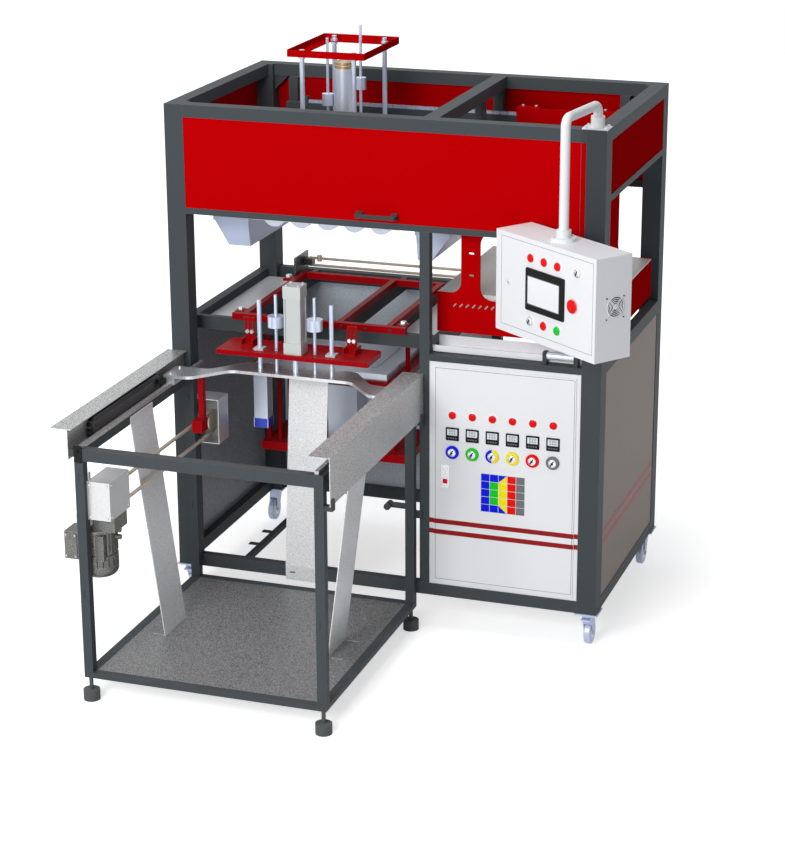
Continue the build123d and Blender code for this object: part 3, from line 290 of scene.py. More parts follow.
dust_group, g_in, g_out = new_group("dust", [("Amount", 0.2)], ["Mask"])
facing_up = add(dust_group, "NewGeometry")
split = add(dust_group, "SeparateXYZ")
wire(dust_group, facing_up.outputs["Normal"], split.inputs[0])
upward = math(dust_group, "MAXIMUM", split.outputs["Z"], 0.0)
cloud = math(dust_group, "MULTIPLY", upward, noise(dust_group, 9.0, 5.0))
wire(dust_group, math(dust_group, "MULTIPLY", cloud, g_in.outputs["Amount"]), g_out.inputs["Mask"])

brush_group, g_in, g_out = new_group("belt_marks", [("Contrast", 1.0)], ["Value"])
marks = math(brush_group, "SUBTRACT", noise(brush_group, 90.0, 4.0, 0.7, (1.0, 1.0, 0.03)), 0.5)
wire(brush_group, math(brush_group, "MULTIPLY", marks, g_in.outputs["Contrast"]), g_out.inputs["Value"])
print("node groups:", [g.name for g in bpy.data.node_groups])

# %% [markdown]
# Every finish is one call of the same recipe: a base colour, a grain that shifts it,
# edges painted lighter as a painted highlight with rubbed paint, a little dust, and a bump.
# The shader's constant values are set on its own sockets. The paints keep a low specular
# level, because in a white room a glossy red turns pink.


# %% Material recipe
def use_group(tree, group, **values):
    node = add(tree, "Group")
    node.node_tree = group
    set_inputs(node, values)
    return node.outputs[0]


def mix_colour(tree, factor, first, second):
    node = add(tree, "Mix")
    node.data_type = "RGBA"
    node.clamp_factor = True
    wire(tree, factor, node.inputs["Factor"])
    for slot, value in (("A", first), ("B", second)):
        target = [s for s in node.inputs if s.name == slot and s.type == "RGBA"][0]
        if isinstance(value, tuple):
            target.default_value = (*value, 1)
        else:
            wire(tree, value, target)
    return [s for s in node.outputs if s.type == "RGBA"][0]


def finish(name, colour, shade, rough=0.45, metal=0.0, grain=400.0, contrast=1.0, edge=None,
           radius=0.0015, dust=0.0, bump=0.05, gloss=0.5, brushed=0.0, beyond=()):
    """A finish: two colours broken up by grain, lighter edges (painted highlight and rubbed paint), dust on
    top and a fine bump.

    beyond has (axis, place, colour, shade) rows, for a node whose colour changes past a place, for other
    sheets there and for painted light and shade.
    """
    mat = bpy.data.materials.new(name)
    mat.use_nodes = True
    tree = mat.node_tree
    shader = tree.nodes["Principled BSDF"]
    set_inputs(shader, {"Metallic": metal, "Specular IOR Level": gloss})
    fine = use_group(tree, grain_group, Scale=grain, Contrast=contrast)
    if brushed > 0:
        fine = math(tree, "ADD", fine, use_group(tree, brush_group, Contrast=brushed))
    half = math(tree, "ADD", fine, 0.5, clamp=True)
    body = mix_colour(tree, half, colour, shade)
    for axis, limit, far_colour, far_shade in beyond:
        spot = add(tree, "TexCoord")
        part = add(tree, "SeparateXYZ")
        wire(tree, spot.outputs["Object"], part.inputs[0])
        past = math(tree, "GREATER_THAN", part.outputs[axis], limit)
        body = mix_colour(tree, past, body, mix_colour(tree, half, far_colour, far_shade))
    # Edges painted lighter: a painted highlight along with rubbed paint.
    if edge is not None:
        wear_and_highlight = use_group(tree, edge_group, Radius=radius, Breakup=45.0)
        body = mix_colour(tree, wear_and_highlight, body, edge)
    if dust > 0:
        grime = use_group(tree, dust_group, Amount=dust)
        body = mix_colour(tree, grime, body, (0.55, 0.54, 0.52))
    wire(tree, body, shader.inputs["Base Color"])
    uneven = math(tree, "MULTIPLY", fine, 0.25)
    wire(tree, math(tree, "ADD", uneven, rough, clamp=True), shader.inputs["Roughness"])
    bumper = add(tree, "Bump")
    set_inputs(bumper, {"Strength": bump, "Distance": 0.001})
    wire(tree, fine, bumper.inputs["Height"], bumper.outputs[0], shader.inputs["Normal"])
    return mat


print("recipe ready")

# %% [markdown]
# The frame is painted graphite, and the upper panels and working parts red. Covers and
# lower panels are zinc-coated sheet, whose crystals show as a speckle, so their grain is
# strong. Where one node holds sheets of different tone, the tone changes past a place. On
# the lower panels that change is painted light and shade: the back sheet is paler and bluer
# as painted light on its inner face, and the right-hand sheet darker and warmer, in painted
# shade.

# %% Paints and sheets
PANEL_RIGHT, PANEL_BACK, GUARD_BACK = place(1700, 0, 0).x, place(0, 1020, 0).y, place(0, 600, 0).y
graphite = finish("graphite_paint", (0.05, 0.058, 0.064), (0.064, 0.074, 0.081), 0.55,
                  edge=(0.16, 0.17, 0.18), gloss=0.08, dust=0.06)
red_gloss = finish("red_paint", (0.5, 0.0006, 0.002), (0.42, 0.0004, 0.0015), 0.42, edge=(0.6, 0.03, 0.02),
                   gloss=0.0)
red_machined = finish("red_machined", (0.38, 0.001, 0.004), (0.28, 0.0008, 0.003), 0.38,
                      edge=(0.58, 0.05, 0.04), gloss=0.05, dust=0.02)
galvanised = finish("galvanised_sheet", (0.1, 0.1, 0.1), (0.36, 0.365, 0.37), 0.5, metal=0.3, grain=260.0,
                    contrast=5.0, edge=(0.75, 0.77, 0.79), gloss=0.2)
cover_sheet = finish("cover_sheet", (0.22, 0.225, 0.225), (0.62, 0.63, 0.63), 0.38, metal=0.6, grain=260.0,
                     contrast=4.0, edge=(0.85, 0.87, 0.9))
oven_sheet = finish("oven_sheet", (0.34, 0.34, 0.32), (0.56, 0.55, 0.53), 0.45, metal=0.3, grain=260.0,
                    contrast=3.0, edge=(0.8, 0.8, 0.78))
guard_sheet = finish("guard_sheet", (0.46, 0.465, 0.47), (0.66, 0.67, 0.68), 0.36, metal=0.5, grain=330.0,
                     contrast=1.5, edge=(0.85, 0.87, 0.9),
                     beyond=(("Y", GUARD_BACK, (0.04, 0.043, 0.045), (0.055, 0.058, 0.06)),))
# The guides are pale sheet, lightened further as a painted reflection of the white room.
guide_sheet = finish("guide_sheet", (0.56, 0.57, 0.58), (0.84, 0.85, 0.86), 0.42, metal=0.3, grain=260.0,
                     contrast=3.0, edge=(0.9, 0.91, 0.92))
bright_sheet = finish("bright_sheet", (0.66, 0.67, 0.69), (0.84, 0.85, 0.87), 0.42, metal=0.2, grain=330.0,
                      contrast=2.0, edge=(0.92, 0.92, 0.92), dust=0.15)
powder_white = finish("white_powder_coat", (0.76, 0.77, 0.79), (0.83, 0.84, 0.86), 0.5, dust=0.04,
                      edge=(0.9, 0.9, 0.91), gloss=0.25)
# Past the back the sheet is painted light (pale blue); past the right side it is painted shade (dark taupe).
panel_sheet = finish("panel_sheet", (0.2, 0.21, 0.22), (0.44, 0.46, 0.49), 0.5, metal=0.2, grain=260.0,
                     contrast=4.0, gloss=0.15,
                     beyond=(("Y", PANEL_BACK, (0.34, 0.39, 0.43), (0.66, 0.73, 0.8)),
                             ("X", PANEL_RIGHT, (0.125, 0.095, 0.078), (0.215, 0.17, 0.145))))
print(len(bpy.data.materials), "finishes so far")

# %% [markdown]
# Rods, rails and ground plates show the fine marks of the belt. Castings are darker and
# rougher, and plastics have little grain.

# %% Metals and plastics
HEATER_RAILS = place(0, 85, 0).y
steel = finish("ground_steel", (0.5, 0.51, 0.53), (0.66, 0.67, 0.69), 0.32, metal=0.8,
               edge=(0.85, 0.86, 0.88), brushed=1.2, dust=0.15)
# A dark steel finish, also used on discs and strips that are painted shade inside holes, slots and openings.
dark_steel = finish("dark_steel", (0.016, 0.017, 0.019), (0.032, 0.033, 0.035), 0.45,
                    edge=(0.12, 0.12, 0.12), gloss=0.3, dust=0.15)
rod_chrome = finish("polished_rod", (0.56, 0.63, 0.8), (0.68, 0.75, 0.9), 0.2, metal=0.35, bump=0.01,
                    brushed=0.8)
rail_steel = finish("rail_steel", (0.32, 0.31, 0.31), (0.5, 0.49, 0.49), 0.3, metal=0.6, brushed=1.0,
                    beyond=(("Y", HEATER_RAILS, (0.56, 0.63, 0.8), (0.68, 0.75, 0.9)),))
alloy = finish("milled_alloy", (0.52, 0.58, 0.68), (0.64, 0.7, 0.8), 0.35, metal=0.45,
               edge=(0.85, 0.88, 0.92), brushed=0.8, dust=0.15)
duct_paint = finish("duct_paint", (0.46, 0.54, 0.72), (0.58, 0.66, 0.84), 0.42, edge=(0.8, 0.85, 0.95),
                    dust=0.15)
caster_zinc = finish("caster_zinc", (0.45, 0.52, 0.7), (0.55, 0.62, 0.8), 0.38, metal=0.3,
                     edge=(0.8, 0.84, 0.92), dust=0.15)
black_plastic = finish("black_plastic", (0.003, 0.003, 0.0032), (0.007, 0.007, 0.0075), 0.5, bump=0.1,
                       gloss=0.15)
rubber = finish("foot_rubber", (0.045, 0.05, 0.052), (0.07, 0.075, 0.078), 0.7, dust=0.25, bump=0.2)
bronze = finish("bronze", (0.4, 0.27, 0.11), (0.52, 0.37, 0.17), 0.35, metal=0.85, edge=(0.8, 0.65, 0.4),
                dust=0.15)
chain_brass = finish("chain_links", (0.5, 0.43, 0.33), (0.66, 0.58, 0.46), 0.4, metal=0.5,
                     edge=(0.8, 0.75, 0.65))
cylinder_shell = finish("cylinder_shell", (0.5, 0.53, 0.52), (0.62, 0.65, 0.64), 0.38, metal=0.15,
                        edge=(0.8, 0.82, 0.82), gloss=0.3)
motor_grey = finish("motor_casting", (0.035, 0.035, 0.032), (0.24, 0.24, 0.225), 0.4, metal=0.6,
                    grain=240.0, contrast=2.0, edge=(0.62, 0.62, 0.6))
print(len(bpy.data.materials), "finishes")

# %% [markdown]
# Most CAD nodes have the right shape already, so they only get a finish.

# %% Finishes on the CAD nodes
coat_list = {
    graphite: ["main_posts", "long_rails", "cross_rails", "hanging_brackets", "press_beams", "press_plate",
               "stacker_legs", "stacker_beams", "heater_beams"],
    red_gloss: ["upper_panels", "heater_plates", "press_ring", "heater_hangers"],
    red_machined: ["clamp_frame", "mould_base", "mould_carrier", "lift_plate", "takeoff_arm"],
    galvanised: ["stacker_tray"],
    guide_sheet: ["stack_guides"],
    cover_sheet: ["stacker_covers"],
    guard_sheet: ["chain_guards"],
    panel_sheet: ["lower_panels"],
    bright_sheet: ["table_sheets"],
    powder_white: ["cabinet_shell", "cabinet_door", "control_box", "box_door", "box_arm", "arm_base"],
    cylinder_shell: ["lift_cylinder"],
    steel: ["takeoff_bow", "takeoff_blocks"],
    rail_steel: ["guide_rails"],
    oven_sheet: ["oven_box"],
    dark_steel: ["panel_handle", "cable_carrier", "heater_cylinder"],
    rod_chrome: ["press_rods", "takeoff_rods"],
    alloy: ["press_cylinder", "plug_platen", "mould_cylinder", "mould_plate", "mould_side_cylinder"],
    motor_grey: ["gearmotor"],
    chain_brass: ["drive_chains"],
    duct_paint: ["cooling_ducts"],
    caster_zinc: [name for name in nodes if name.startswith("caster_")],
    black_plastic: ["door_controls", "box_controls"],
    rubber: ["levelling_feet"],
}
for material, names in coat_list.items():
    for name in names:
        data = nodes[name].data
        data.materials.clear()
        data.materials.append(material)
left_over = set(nodes) - {name for names in coat_list.values() for name in names}
print("nodes without a finish:", left_over)

# %% [markdown]
# Square tube is rolled, so its corners are round, and bent sheet has a small radius too. A
# Bevel modifier gives that round edge without touching the CAD meshes.

# %% Rounded corners of tube and plate
CORNERS = {
    0.003: ["main_posts", "long_rails", "cross_rails", "stacker_legs", "stacker_beams", "hanging_brackets",
            "press_beams"],
    0.0012: ["clamp_frame", "control_box", "mould_cylinder", "mould_carrier", "mould_base",
             "takeoff_blocks", "heater_beams", "press_plate", "chain_guards"],
}
for size, names in CORNERS.items():
    for name in names:
        rounding = nodes[name].modifiers.new("rolled_edge", "BEVEL")
        rounding.width = size
        rounding.segments = 2
        rounding.limit_method = "ANGLE"
        rounding.angle_limit = radians(50)
print("rounded", sum(len(names) for names in CORNERS.values()), "nodes")

# %% [markdown]
# The small pieces are turned parts and flat parts. A turned part is an outline of radius
# and height spun round an axis, as on a lathe. A flat part is a rounded rectangle with a
# broken edge. Both stand on a frame whose Z axis points out of the surface that carries
# them, so one recipe fits the door, the control box and the top.


# %% Helpers for small pieces
OUT, BACK, LEFTWARD, RIGHT, UP = (0, -1, 0), (0, 1, 0), (-1, 0, 0), (1, 0, 0), (0, 0, 1)


def facing(point, direction):
    """A frame at a point whose own Z axis points in a direction, with its Y axis upwards."""
    return Matrix.Translation(point) @ Vector(direction).to_track_quat("Z", "Y").to_matrix().to_4x4()


def at_front(x, y, z):
    """A frame at a point in millimetres, facing out of the machine's front."""
    return facing(place(x, y, z), OUT)


def lathe(bm, at, outline, steps=24, closed=False):
    """Spins an outline of (radius, height) in millimetres round the frame's own Z axis."""
    rings = []
    for radius, height in outline:
        if radius == 0:
            rings.append([bm.verts.new(at @ Vector((0, 0, height * MM)))])
            continue
        angles = [2 * pi * k / steps for k in range(steps)]
        spots = [Vector((radius * cos(a), radius * sin(a), height)) * MM for a in angles]
        rings.append([bm.verts.new(at @ spot) for spot in spots])
    after = rings[1:] + rings[:1] if closed else rings[1:]
    for low, high in zip(rings, after):
        for k in range(steps):
            nxt = (k + 1) % steps
            corners = (low[k % len(low)], low[nxt % len(low)], high[nxt % len(high)], high[k % len(high)])
            bm.faces.new(list(dict.fromkeys(corners)))


def rounded_outline(width, height, corner, steps=4):
    points = []
    for quarter, (sx, sy) in enumerate(((1, 1), (-1, 1), (-1, -1), (1, -1))):
        for k in range(steps + 1):
            angle = radians(90 * (quarter + k / steps))
            points.append((sx * (width / 2 - corner) + corner * cos(angle),
                           sy * (height / 2 - corner) + corner * sin(angle)))
    return points


def slab(bm, at, width, height, low, high, corner=2.0, edge=0.6):
    """A rounded rectangle from one level to another, with its outer edge broken."""
    rings = []
    for inset, level in ((0.0, low), (0.0, high - edge), (edge, high)):
        outline = rounded_outline(width - 2 * inset, height - 2 * inset, max(corner - inset, 0.2))
        rings.append([bm.verts.new(at @ (Vector((x, y, level)) * MM)) for x, y in outline])
    count = len(rings[0])
    for lower, upper in zip(rings, rings[1:]):
        for k in range(count):
            bm.faces.new((lower[k], lower[(k + 1) % count], upper[(k + 1) % count], upper[k]))
    bm.faces.new(list(reversed(rings[0])))
    bm.faces.new(rings[-1])


def prism(bm, at, corners, low, high):
    """A plate with flat sides on corners given anticlockwise, from one level to another."""
    lower = [bm.verts.new(at @ (Vector((x, y, low)) * MM)) for x, y in corners]
    upper = [bm.verts.new(at @ (Vector((x, y, high)) * MM)) for x, y in corners]
    for k in range(len(corners)):
        bm.faces.new((lower[k - 1], lower[k], upper[k], upper[k - 1]))
    bm.faces.new(lower[::-1])
    bm.faces.new(upper)


def meshes(count):
    return [bmesh.new() for k in range(count)]


def keep(name, bm, material, body, sharp=35):
    """Turns a mesh into a named piece with a finish, which rides on a body."""
    mesh = bpy.data.meshes.new(name)
    bm.to_mesh(mesh)
    bm.free()
    mesh.shade_smooth()
    mesh.set_sharp_from_angle(angle=radians(sharp))
    mesh.materials.append(material)
    obj = link(bpy.data.objects.new(name, mesh))
    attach(obj, body)
    print(name, len(mesh.polygons), "faces on", body)
    return obj


print("piece helpers ready")

# %% [markdown]
# Lamps, buttons and collars are moulded in pure signal colours, told apart at a glance.
# They share four plastics of low gloss.

# %% Plastics of the controls
SIGNALS = (("red", (0.86, 0.001, 0.003), (0.72, 0.001, 0.002)),
           ("green", (0.004, 0.62, 0.02), (0.004, 0.50, 0.02)),
           ("blue", (0.002, 0.008, 0.78), (0.002, 0.006, 0.64)),
           ("yellow", (0.92, 0.80, 0.004), (0.86, 0.72, 0.004)))
signal_red, signal_green, signal_blue, signal_yellow = [
    finish(f"signal_{name}", colour, shade, 0.3, bump=0.02, gloss=0.12)
    for name, colour, shade in SIGNALS]
mid_grey = finish("mid_grey_plastic", (0.1, 0.105, 0.11), (0.14, 0.145, 0.15), 0.4, bump=0.04)
bezel_silver = finish("bezel_silver", (0.62, 0.64, 0.67), (0.74, 0.76, 0.79), 0.25, metal=0.7,
                      edge=(0.9, 0.9, 0.92))
display_light = finish("display_light", (0.62, 0.68, 0.72), (0.68, 0.74, 0.78), 0.2, bump=0.01)
screen_light = finish("screen_light", (0.78, 0.8, 0.82), (0.84, 0.86, 0.88), 0.2, bump=0.01)
stripe_red = finish("stripe_red", (0.3, 0.004, 0.008), (0.25, 0.003, 0.006), 0.45, gloss=0.2)
print(len(bpy.data.materials), "finishes in all")

# %% [markdown]
# The six lamps on the door are domed lenses in thin bright rings, pushed through round
# holes. A lathe outline gives both: a bowed lens and a ring with a rolled lip.

# %% Lamps on the cabinet door
DOOR = "cabinet_door"
door_low, door_high = reach(DOOR)
ROW_LEFT, ROW_PITCH, ROW_COUNT = 1201.0, 82.4, 6
LAMP_Z, CONTROLLER_Z, KNOB_Z = 927.0, 849.0, 773.0
row_x = [ROW_LEFT + k * ROW_PITCH for k in range(ROW_COUNT)]
LENS = ((15.8, 0), (15.8, 3.5), (14.6, 6.0), (10.5, 7.9), (5.2, 8.8), (0, 9))
LENS_RING = ((15.6, 0), (17, 0), (17, 1.8), (16.6, 2.6), (15.8, 2.8), (15.6, 2.4))
lenses, rings = meshes(2)
for x in row_x:
    lathe(lenses, at_front(x, 0, LAMP_Z), LENS)
    lathe(rings, at_front(x, 0, LAMP_Z), LENS_RING, closed=True)
keep("door_lamp_lenses", lenses, signal_red, DOOR, 60)
lamp_rings = keep("door_lamp_rings", rings, bezel_silver, DOOR)
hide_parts("door_controls")

# %% [markdown]
# A temperature controller is a square black case with a pale display and a row of keys.
# Two rows of figures on the display show the measured and the wanted temperature.

# %% Temperature controllers
CASE, CASE_OUT = 54.0, 4.0
DISPLAY_W, DISPLAY_H, DISPLAY_RISE = 42.0, 26.0, 8.0
COLUMN_PITCH, KEY_RISE = 10.0, -16.0
DIGIT_ROWS = ((13.5, 8.5), (2.5, 5.5))
cases, displays, digits, keys = meshes(4)
for x in row_x:
    slab(cases, at_front(x, 0, CONTROLLER_Z), CASE, CASE, 0, CASE_OUT, 3.0, 1.0)
    at = at_front(x, 0, CONTROLLER_Z + DISPLAY_RISE)
    slab(displays, at, DISPLAY_W, DISPLAY_H, CASE_OUT - 0.5, CASE_OUT + 0.5, 1.5, 0.3)
    for k in range(3):
        for rise, tall in DIGIT_ROWS:
            at = at_front(x + (k - 1) * COLUMN_PITCH, 0, CONTROLLER_Z + rise)
            slab(digits, at, 6.0, tall, CASE_OUT + 0.3, CASE_OUT + 0.8, 1.0, 0.2)
            slab(displays, at, 2.6, tall - 3.4, CASE_OUT + 0.4, CASE_OUT + 1.0, 0.5, 0.1)
    for k in range(4):
        at = at_front(x + (k - 1.5) * COLUMN_PITCH, 0, CONTROLLER_Z + KEY_RISE)
        slab(keys, at, 7, 5, CASE_OUT - 0.5, CASE_OUT + 1.2, 1.2, 0.4)
keep("controller_cases", cases, black_plastic, DOOR)
keep("controller_displays", displays, display_light, DOOR)
keep("controller_digits", digits, mid_grey, DOOR)
keep("controller_keys", keys, mid_grey, DOOR)

# %% [markdown]
# Each selector knob has a coloured collar that names its heating zone, the same colour as a
# column of the chart below it. The third is half blue and half yellow, like the column
# where both colours meet.

# %% Selector knobs
COLLAR = ((16, 0), (27, 0), (27, 6), (25, 8), (18, 8.5), (16, 8))
KNOB = ((17, 0), (17, 10), (15.5, 13), (14.5, 13.6), (0, 13.6))
DARK_GRIP = ((0, 13.4), (5.4, 13.4), (4.8, 14.6), (0, 14.6))
collar_colours = (signal_blue, signal_green, signal_blue, signal_yellow, signal_red, mid_grey)
knobs, grips = meshes(2)
for k, x in enumerate(row_x):
    at = at_front(x, 0, KNOB_Z)
    collar = bmesh.new()
    lathe(collar, at, COLLAR, 32, closed=True)
    made = keep(f"knob_collar_{k + 1}", collar, collar_colours[k], DOOR)
    if k == 2:
        made.data.materials.append(signal_yellow)
        for face in made.data.polygons:
            face.material_index = int(face.center.x > place(x, 0, 0).x)
    lathe(knobs, at, KNOB)
    slab(grips, at @ Matrix.Rotation(radians(-30), 4, "Z"), 4.2, 26, 13.2, 15.6, 1.5, 0.5)
    lathe(grips, at, DARK_GRIP, 16)
keep("knob_caps", knobs, bezel_silver, DOOR)
keep("knob_pointers", grips, black_plastic, DOOR)

# %% [markdown]
# The latch is a pale plate with a red key. A door that closes flush still shows a fine dark
# line all round, so the joint of each door is drawn by four thin strips.


# %% Latch and door joints
def joint_strips(bm, at, width, height, thin=1.6):
    """Four thin strips round a rectangle, on the surface of a frame at its middle."""
    for dx, dy, w, h in ((0, height / 2, width, thin), (0, -height / 2, width, thin),
                         (width / 2, 0, thin, height), (-width / 2, 0, thin, height)):
        slab(bm, at @ Matrix.Translation((dx * MM, dy * MM, 0)), w, h, 0, 0.2, 0.3, 0.05)


door_joint = bmesh.new()
SEAM_X, SEAM_Z = (1130.0, 1696.0), (226.0, 1118.0)
seam_at = at_front(sum(SEAM_X) / 2, 0, sum(SEAM_Z) / 2)
joint_strips(door_joint, seam_at, SEAM_X[1] - SEAM_X[0], SEAM_Z[1] - SEAM_Z[0])
keep("door_joint", door_joint, mid_grey, DOOR)

latch_plate, latch_key = meshes(2)
LATCH_X, LATCH_Z = 1171.0, 669.0
slab(latch_plate, at_front(LATCH_X, 0, LATCH_Z), 34, 98, 0, 4, 5.0, 1.2)
slab(latch_key, at_front(LATCH_X + 1, 0, LATCH_Z - 20), 19, 18, 3.5, 8, 2.0, 1.0)
keep("latch_plate", latch_plate, bezel_silver, DOOR)
keep("latch_key", latch_key, signal_red, DOOR)

# %% [markdown]
# The chart, most likely a printed label, shows the heating zones as plain tiles on a grid.
# The blue zone wraps round the green one and cuts the corners of the yellow one. Each tile
# is a thin slab, and each cut corner a thin prism on top of its tile.

# %% Zone chart
CHART_X, CHART_Z = (1320.0, 1501.0), (537.0, 698.0)
chart_colours = (signal_blue, signal_green, signal_yellow, signal_red, mid_grey)
CHART_ROWS, TILE_GAP, WEDGE_GAP = 5, 1.8, 2.0
chart_w, chart_h = CHART_X[1] - CHART_X[0], CHART_Z[1] - CHART_Z[0]
tile_w, tile_h = chart_w / len(chart_colours), chart_h / CHART_ROWS
chart_back = bmesh.new()
chart_at = at_front(sum(CHART_X) / 2, 0, sum(CHART_Z) / 2)
slab(chart_back, chart_at, chart_w, chart_h, 0, 0.4, 1.0, 0.1)
keep("chart_back", chart_back, display_light, DOOR)
tiles = meshes(len(chart_colours))
blue_tiles = tiles[0]
for column in range(len(chart_colours)):
    for row in range(CHART_ROWS):
        outer_row = row in (0, CHART_ROWS - 1)
        colour = 0 if column == 1 and outer_row else column
        spot = place(CHART_X[0] + (column + 0.5) * tile_w, 0, CHART_Z[0] + (row + 0.5) * tile_h)
        slab(tiles[colour], facing(spot, OUT), tile_w - TILE_GAP, tile_h - TILE_GAP, 0.3, 0.7, 0.6, 0.1)
        if column == 2 and outer_row:
            x, y = (tile_w - WEDGE_GAP) / 2, (tile_h - WEDGE_GAP) / 2
            corners = ((-x, y), (-x, -y), (x, y)) if row else ((-x, -y), (x, -y), (-x, y))
            prism(blue_tiles, facing(spot, OUT), corners, 0.5, 0.9)
for name, colour, mesh in zip(("blue", "green", "yellow", "red", "grey"), chart_colours, tiles):
    keep(f"chart_{name}", mesh, colour, DOOR)

# %% [markdown]
# Two dark red stripes run round the cabinet and on along the right panel. They look like
# tape or paint, so here they are slabs less than half a millimetre thick.

# %% Stripes
STRIPE_Z, STRIPE_H, STRIPE_T = (474.0, 429.0), 20.0, 0.4
shell_low, shell_high = reach("cabinet_shell")
panels_high = reach("lower_panels")[1]
PANEL_Y = (82.0, 958.0)
door_stripes, side_stripes = meshes(2)
for z in STRIPE_Z:
    spot = place((door_low.x + door_high.x) / 2, 0, z)
    slab(door_stripes, facing(spot, OUT), door_high.x - door_low.x, STRIPE_H, 0, STRIPE_T, 0.3, 0.1)
    for x1, x2 in ((shell_low.x, door_low.x - 1), (door_high.x + 1, shell_high.x)):
        spot = place((x1 + x2) / 2, shell_low.y, z)
        slab(side_stripes, facing(spot, OUT), x2 - x1, STRIPE_H, 0, STRIPE_T, 0.3, 0.1)
    spot = place(panels_high.x, sum(PANEL_Y) / 2, z)
    slab(side_stripes, facing(spot, RIGHT), PANEL_Y[1] - PANEL_Y[0], STRIPE_H, 0, STRIPE_T, 0.3, 0.1)
keep("door_stripes", door_stripes, stripe_red, DOOR)
keep("side_stripes", side_stripes, stripe_red, "frame")

# %% [markdown]
# The control box is turned towards the operator, so its pieces are placed in its own axes:
# across its face, up from its lower edge, and out of the face. The middle of the box's
# reach gives the place, and its width and depth are those of the CAD model.

# %% Axes of the control box
BOX_TURN = radians(-36)
BOX_D, BOX_W, DOOR_T = 164.0, 585.0, 3.3
box_low, box_high = reach("control_box")
box_x, box_y = (box_low.x + box_high.x) / 2, (box_low.y + box_high.y) / 2
box_right = Vector((cos(BOX_TURN), sin(BOX_TURN), 0))
box_out = Vector((sin(BOX_TURN), -cos(BOX_TURN), 0))


def on_face(across, rise):
    """A frame on the control box's door."""
    out = BOX_D / 2 + DOOR_T
    return facing(place(box_x, box_y, box_low.z + rise) + (box_right * across + box_out * out) * MM, box_out)


def on_side(back, rise):
    """A frame on the control box's right side."""
    spot = place(box_x, box_y, box_low.z + rise) + (box_right * BOX_W / 2 - box_out * back) * MM
    return facing(spot, box_right)


print("control box middle", round(box_x), round(box_y))

# %% [markdown]
# The face has a touch screen, with three lamps and a switch above it, an emergency stop
# beside it, and a switch and two buttons below. The emergency stop is a mushroom, so that a
# hand finds it from any side.

# %% Face of the control box
GLASS_AT, GLASS_W, GLASS_H, LIP = (-2, 196), 182.0, 104.0, 3.0
STOP_AT, LOCK_AT = (166, 189), (-214, 197)
bezel, glass, lip = meshes(3)
slab(bezel, on_face(4, 198), 226, 162, 0, 6, 6.0, 1.5)
slab(glass, on_face(*GLASS_AT), GLASS_W, GLASS_H, 5.6, 6.3, 2.0, 0.2)
slab(lip, on_face(*GLASS_AT), GLASS_W + 2 * LIP, GLASS_H + 2 * LIP, 5.7, 6.15, 2.5, 0.1)
box_joint = bmesh.new()
joint_strips(box_joint, on_face(8, 200), 537, 341)
keep("box_door_joint", box_joint, mid_grey, "box_door")
face_bezel = keep("screen_bezel", bezel, black_plastic, "box_door")
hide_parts("box_controls")
keep("screen_lip", lip, mid_grey, "box_door")
keep("screen_glass", glass, screen_light, "box_door")

BUTTON_RING = ((15.8, 0), (18, 0), (18, 2.0), (17.4, 2.8), (16.2, 2.8), (15.8, 2.4))
BUTTON = ((16, 0), (16, 6.0), (14.6, 8.2), (8, 9.4), (0, 9.8))
STOP_RING = ((10, 0), (20, 0), (20, 2), (18, 3), (10, 3))
MUSHROOM = ((11, 0), (11, 5), (24, 5.5), (26, 7.5), (25, 10), (18, 12), (8, 13), (0, 13.2))
LOCK = ((0, 0), (9, 0), (9, 2.5), (8, 3.5), (5, 3.8), (4.6, 3.0), (0, 3.0))
red_buttons, green_buttons, silver_buttons, rings = meshes(4)
for across, rise, mesh in ((-82, 318, red_buttons), (-3, 318, red_buttons), (76, 318, red_buttons),
                           (190, 318, silver_buttons), (-82, 75, silver_buttons), (-1, 75, red_buttons),
                           (78, 75, green_buttons)):
    lathe(mesh, on_face(across, rise), BUTTON)
    lathe(rings, on_face(across, rise), BUTTON_RING, closed=True)
lathe(red_buttons, on_face(*STOP_AT), MUSHROOM, 32)
lathe(rings, on_face(*STOP_AT), STOP_RING, 32, closed=True)
lathe(silver_buttons, on_face(*LOCK_AT), LOCK)
switch_bar = bmesh.new()
for across, rise in ((190, 318), (-82, 75)):
    at = on_face(across, rise) @ Matrix.Rotation(radians(-25), 4, "Z")
    slab(switch_bar, at, 5, 20, 9.0, 11.6, 1.5, 0.8)
slab(switch_bar, on_face(*LOCK_AT), 2.2, 9, 2.8, 3.6, 0.6, 0.2)
keep("face_red_buttons", red_buttons, signal_red, "box_door", 60)
keep("face_green_button", green_buttons, signal_green, "box_door", 60)
keep("face_silver_buttons", silver_buttons, bezel_silver, "box_door", 50)
keep("face_button_rings", rings, bezel_silver, "box_door")
keep("face_switch_bars", switch_bar, black_plastic, "box_door")

# %% [markdown]
# A fan cools the box through its right side. What shows is a dark round opening behind a
# guard of rings and spokes painted like the box, held by four screws. The opening is a thin
# dark disc, painted shade of the hollow behind the guard.

# %% Fan guard
FAN_BACK, FAN_Z, FAN_R = 6.0, 202.0, 38.0
WIRE, WIRE_RISE = 1.5, 2.2
fan_at = on_side(FAN_BACK, FAN_Z)
opening, guard = meshes(2)
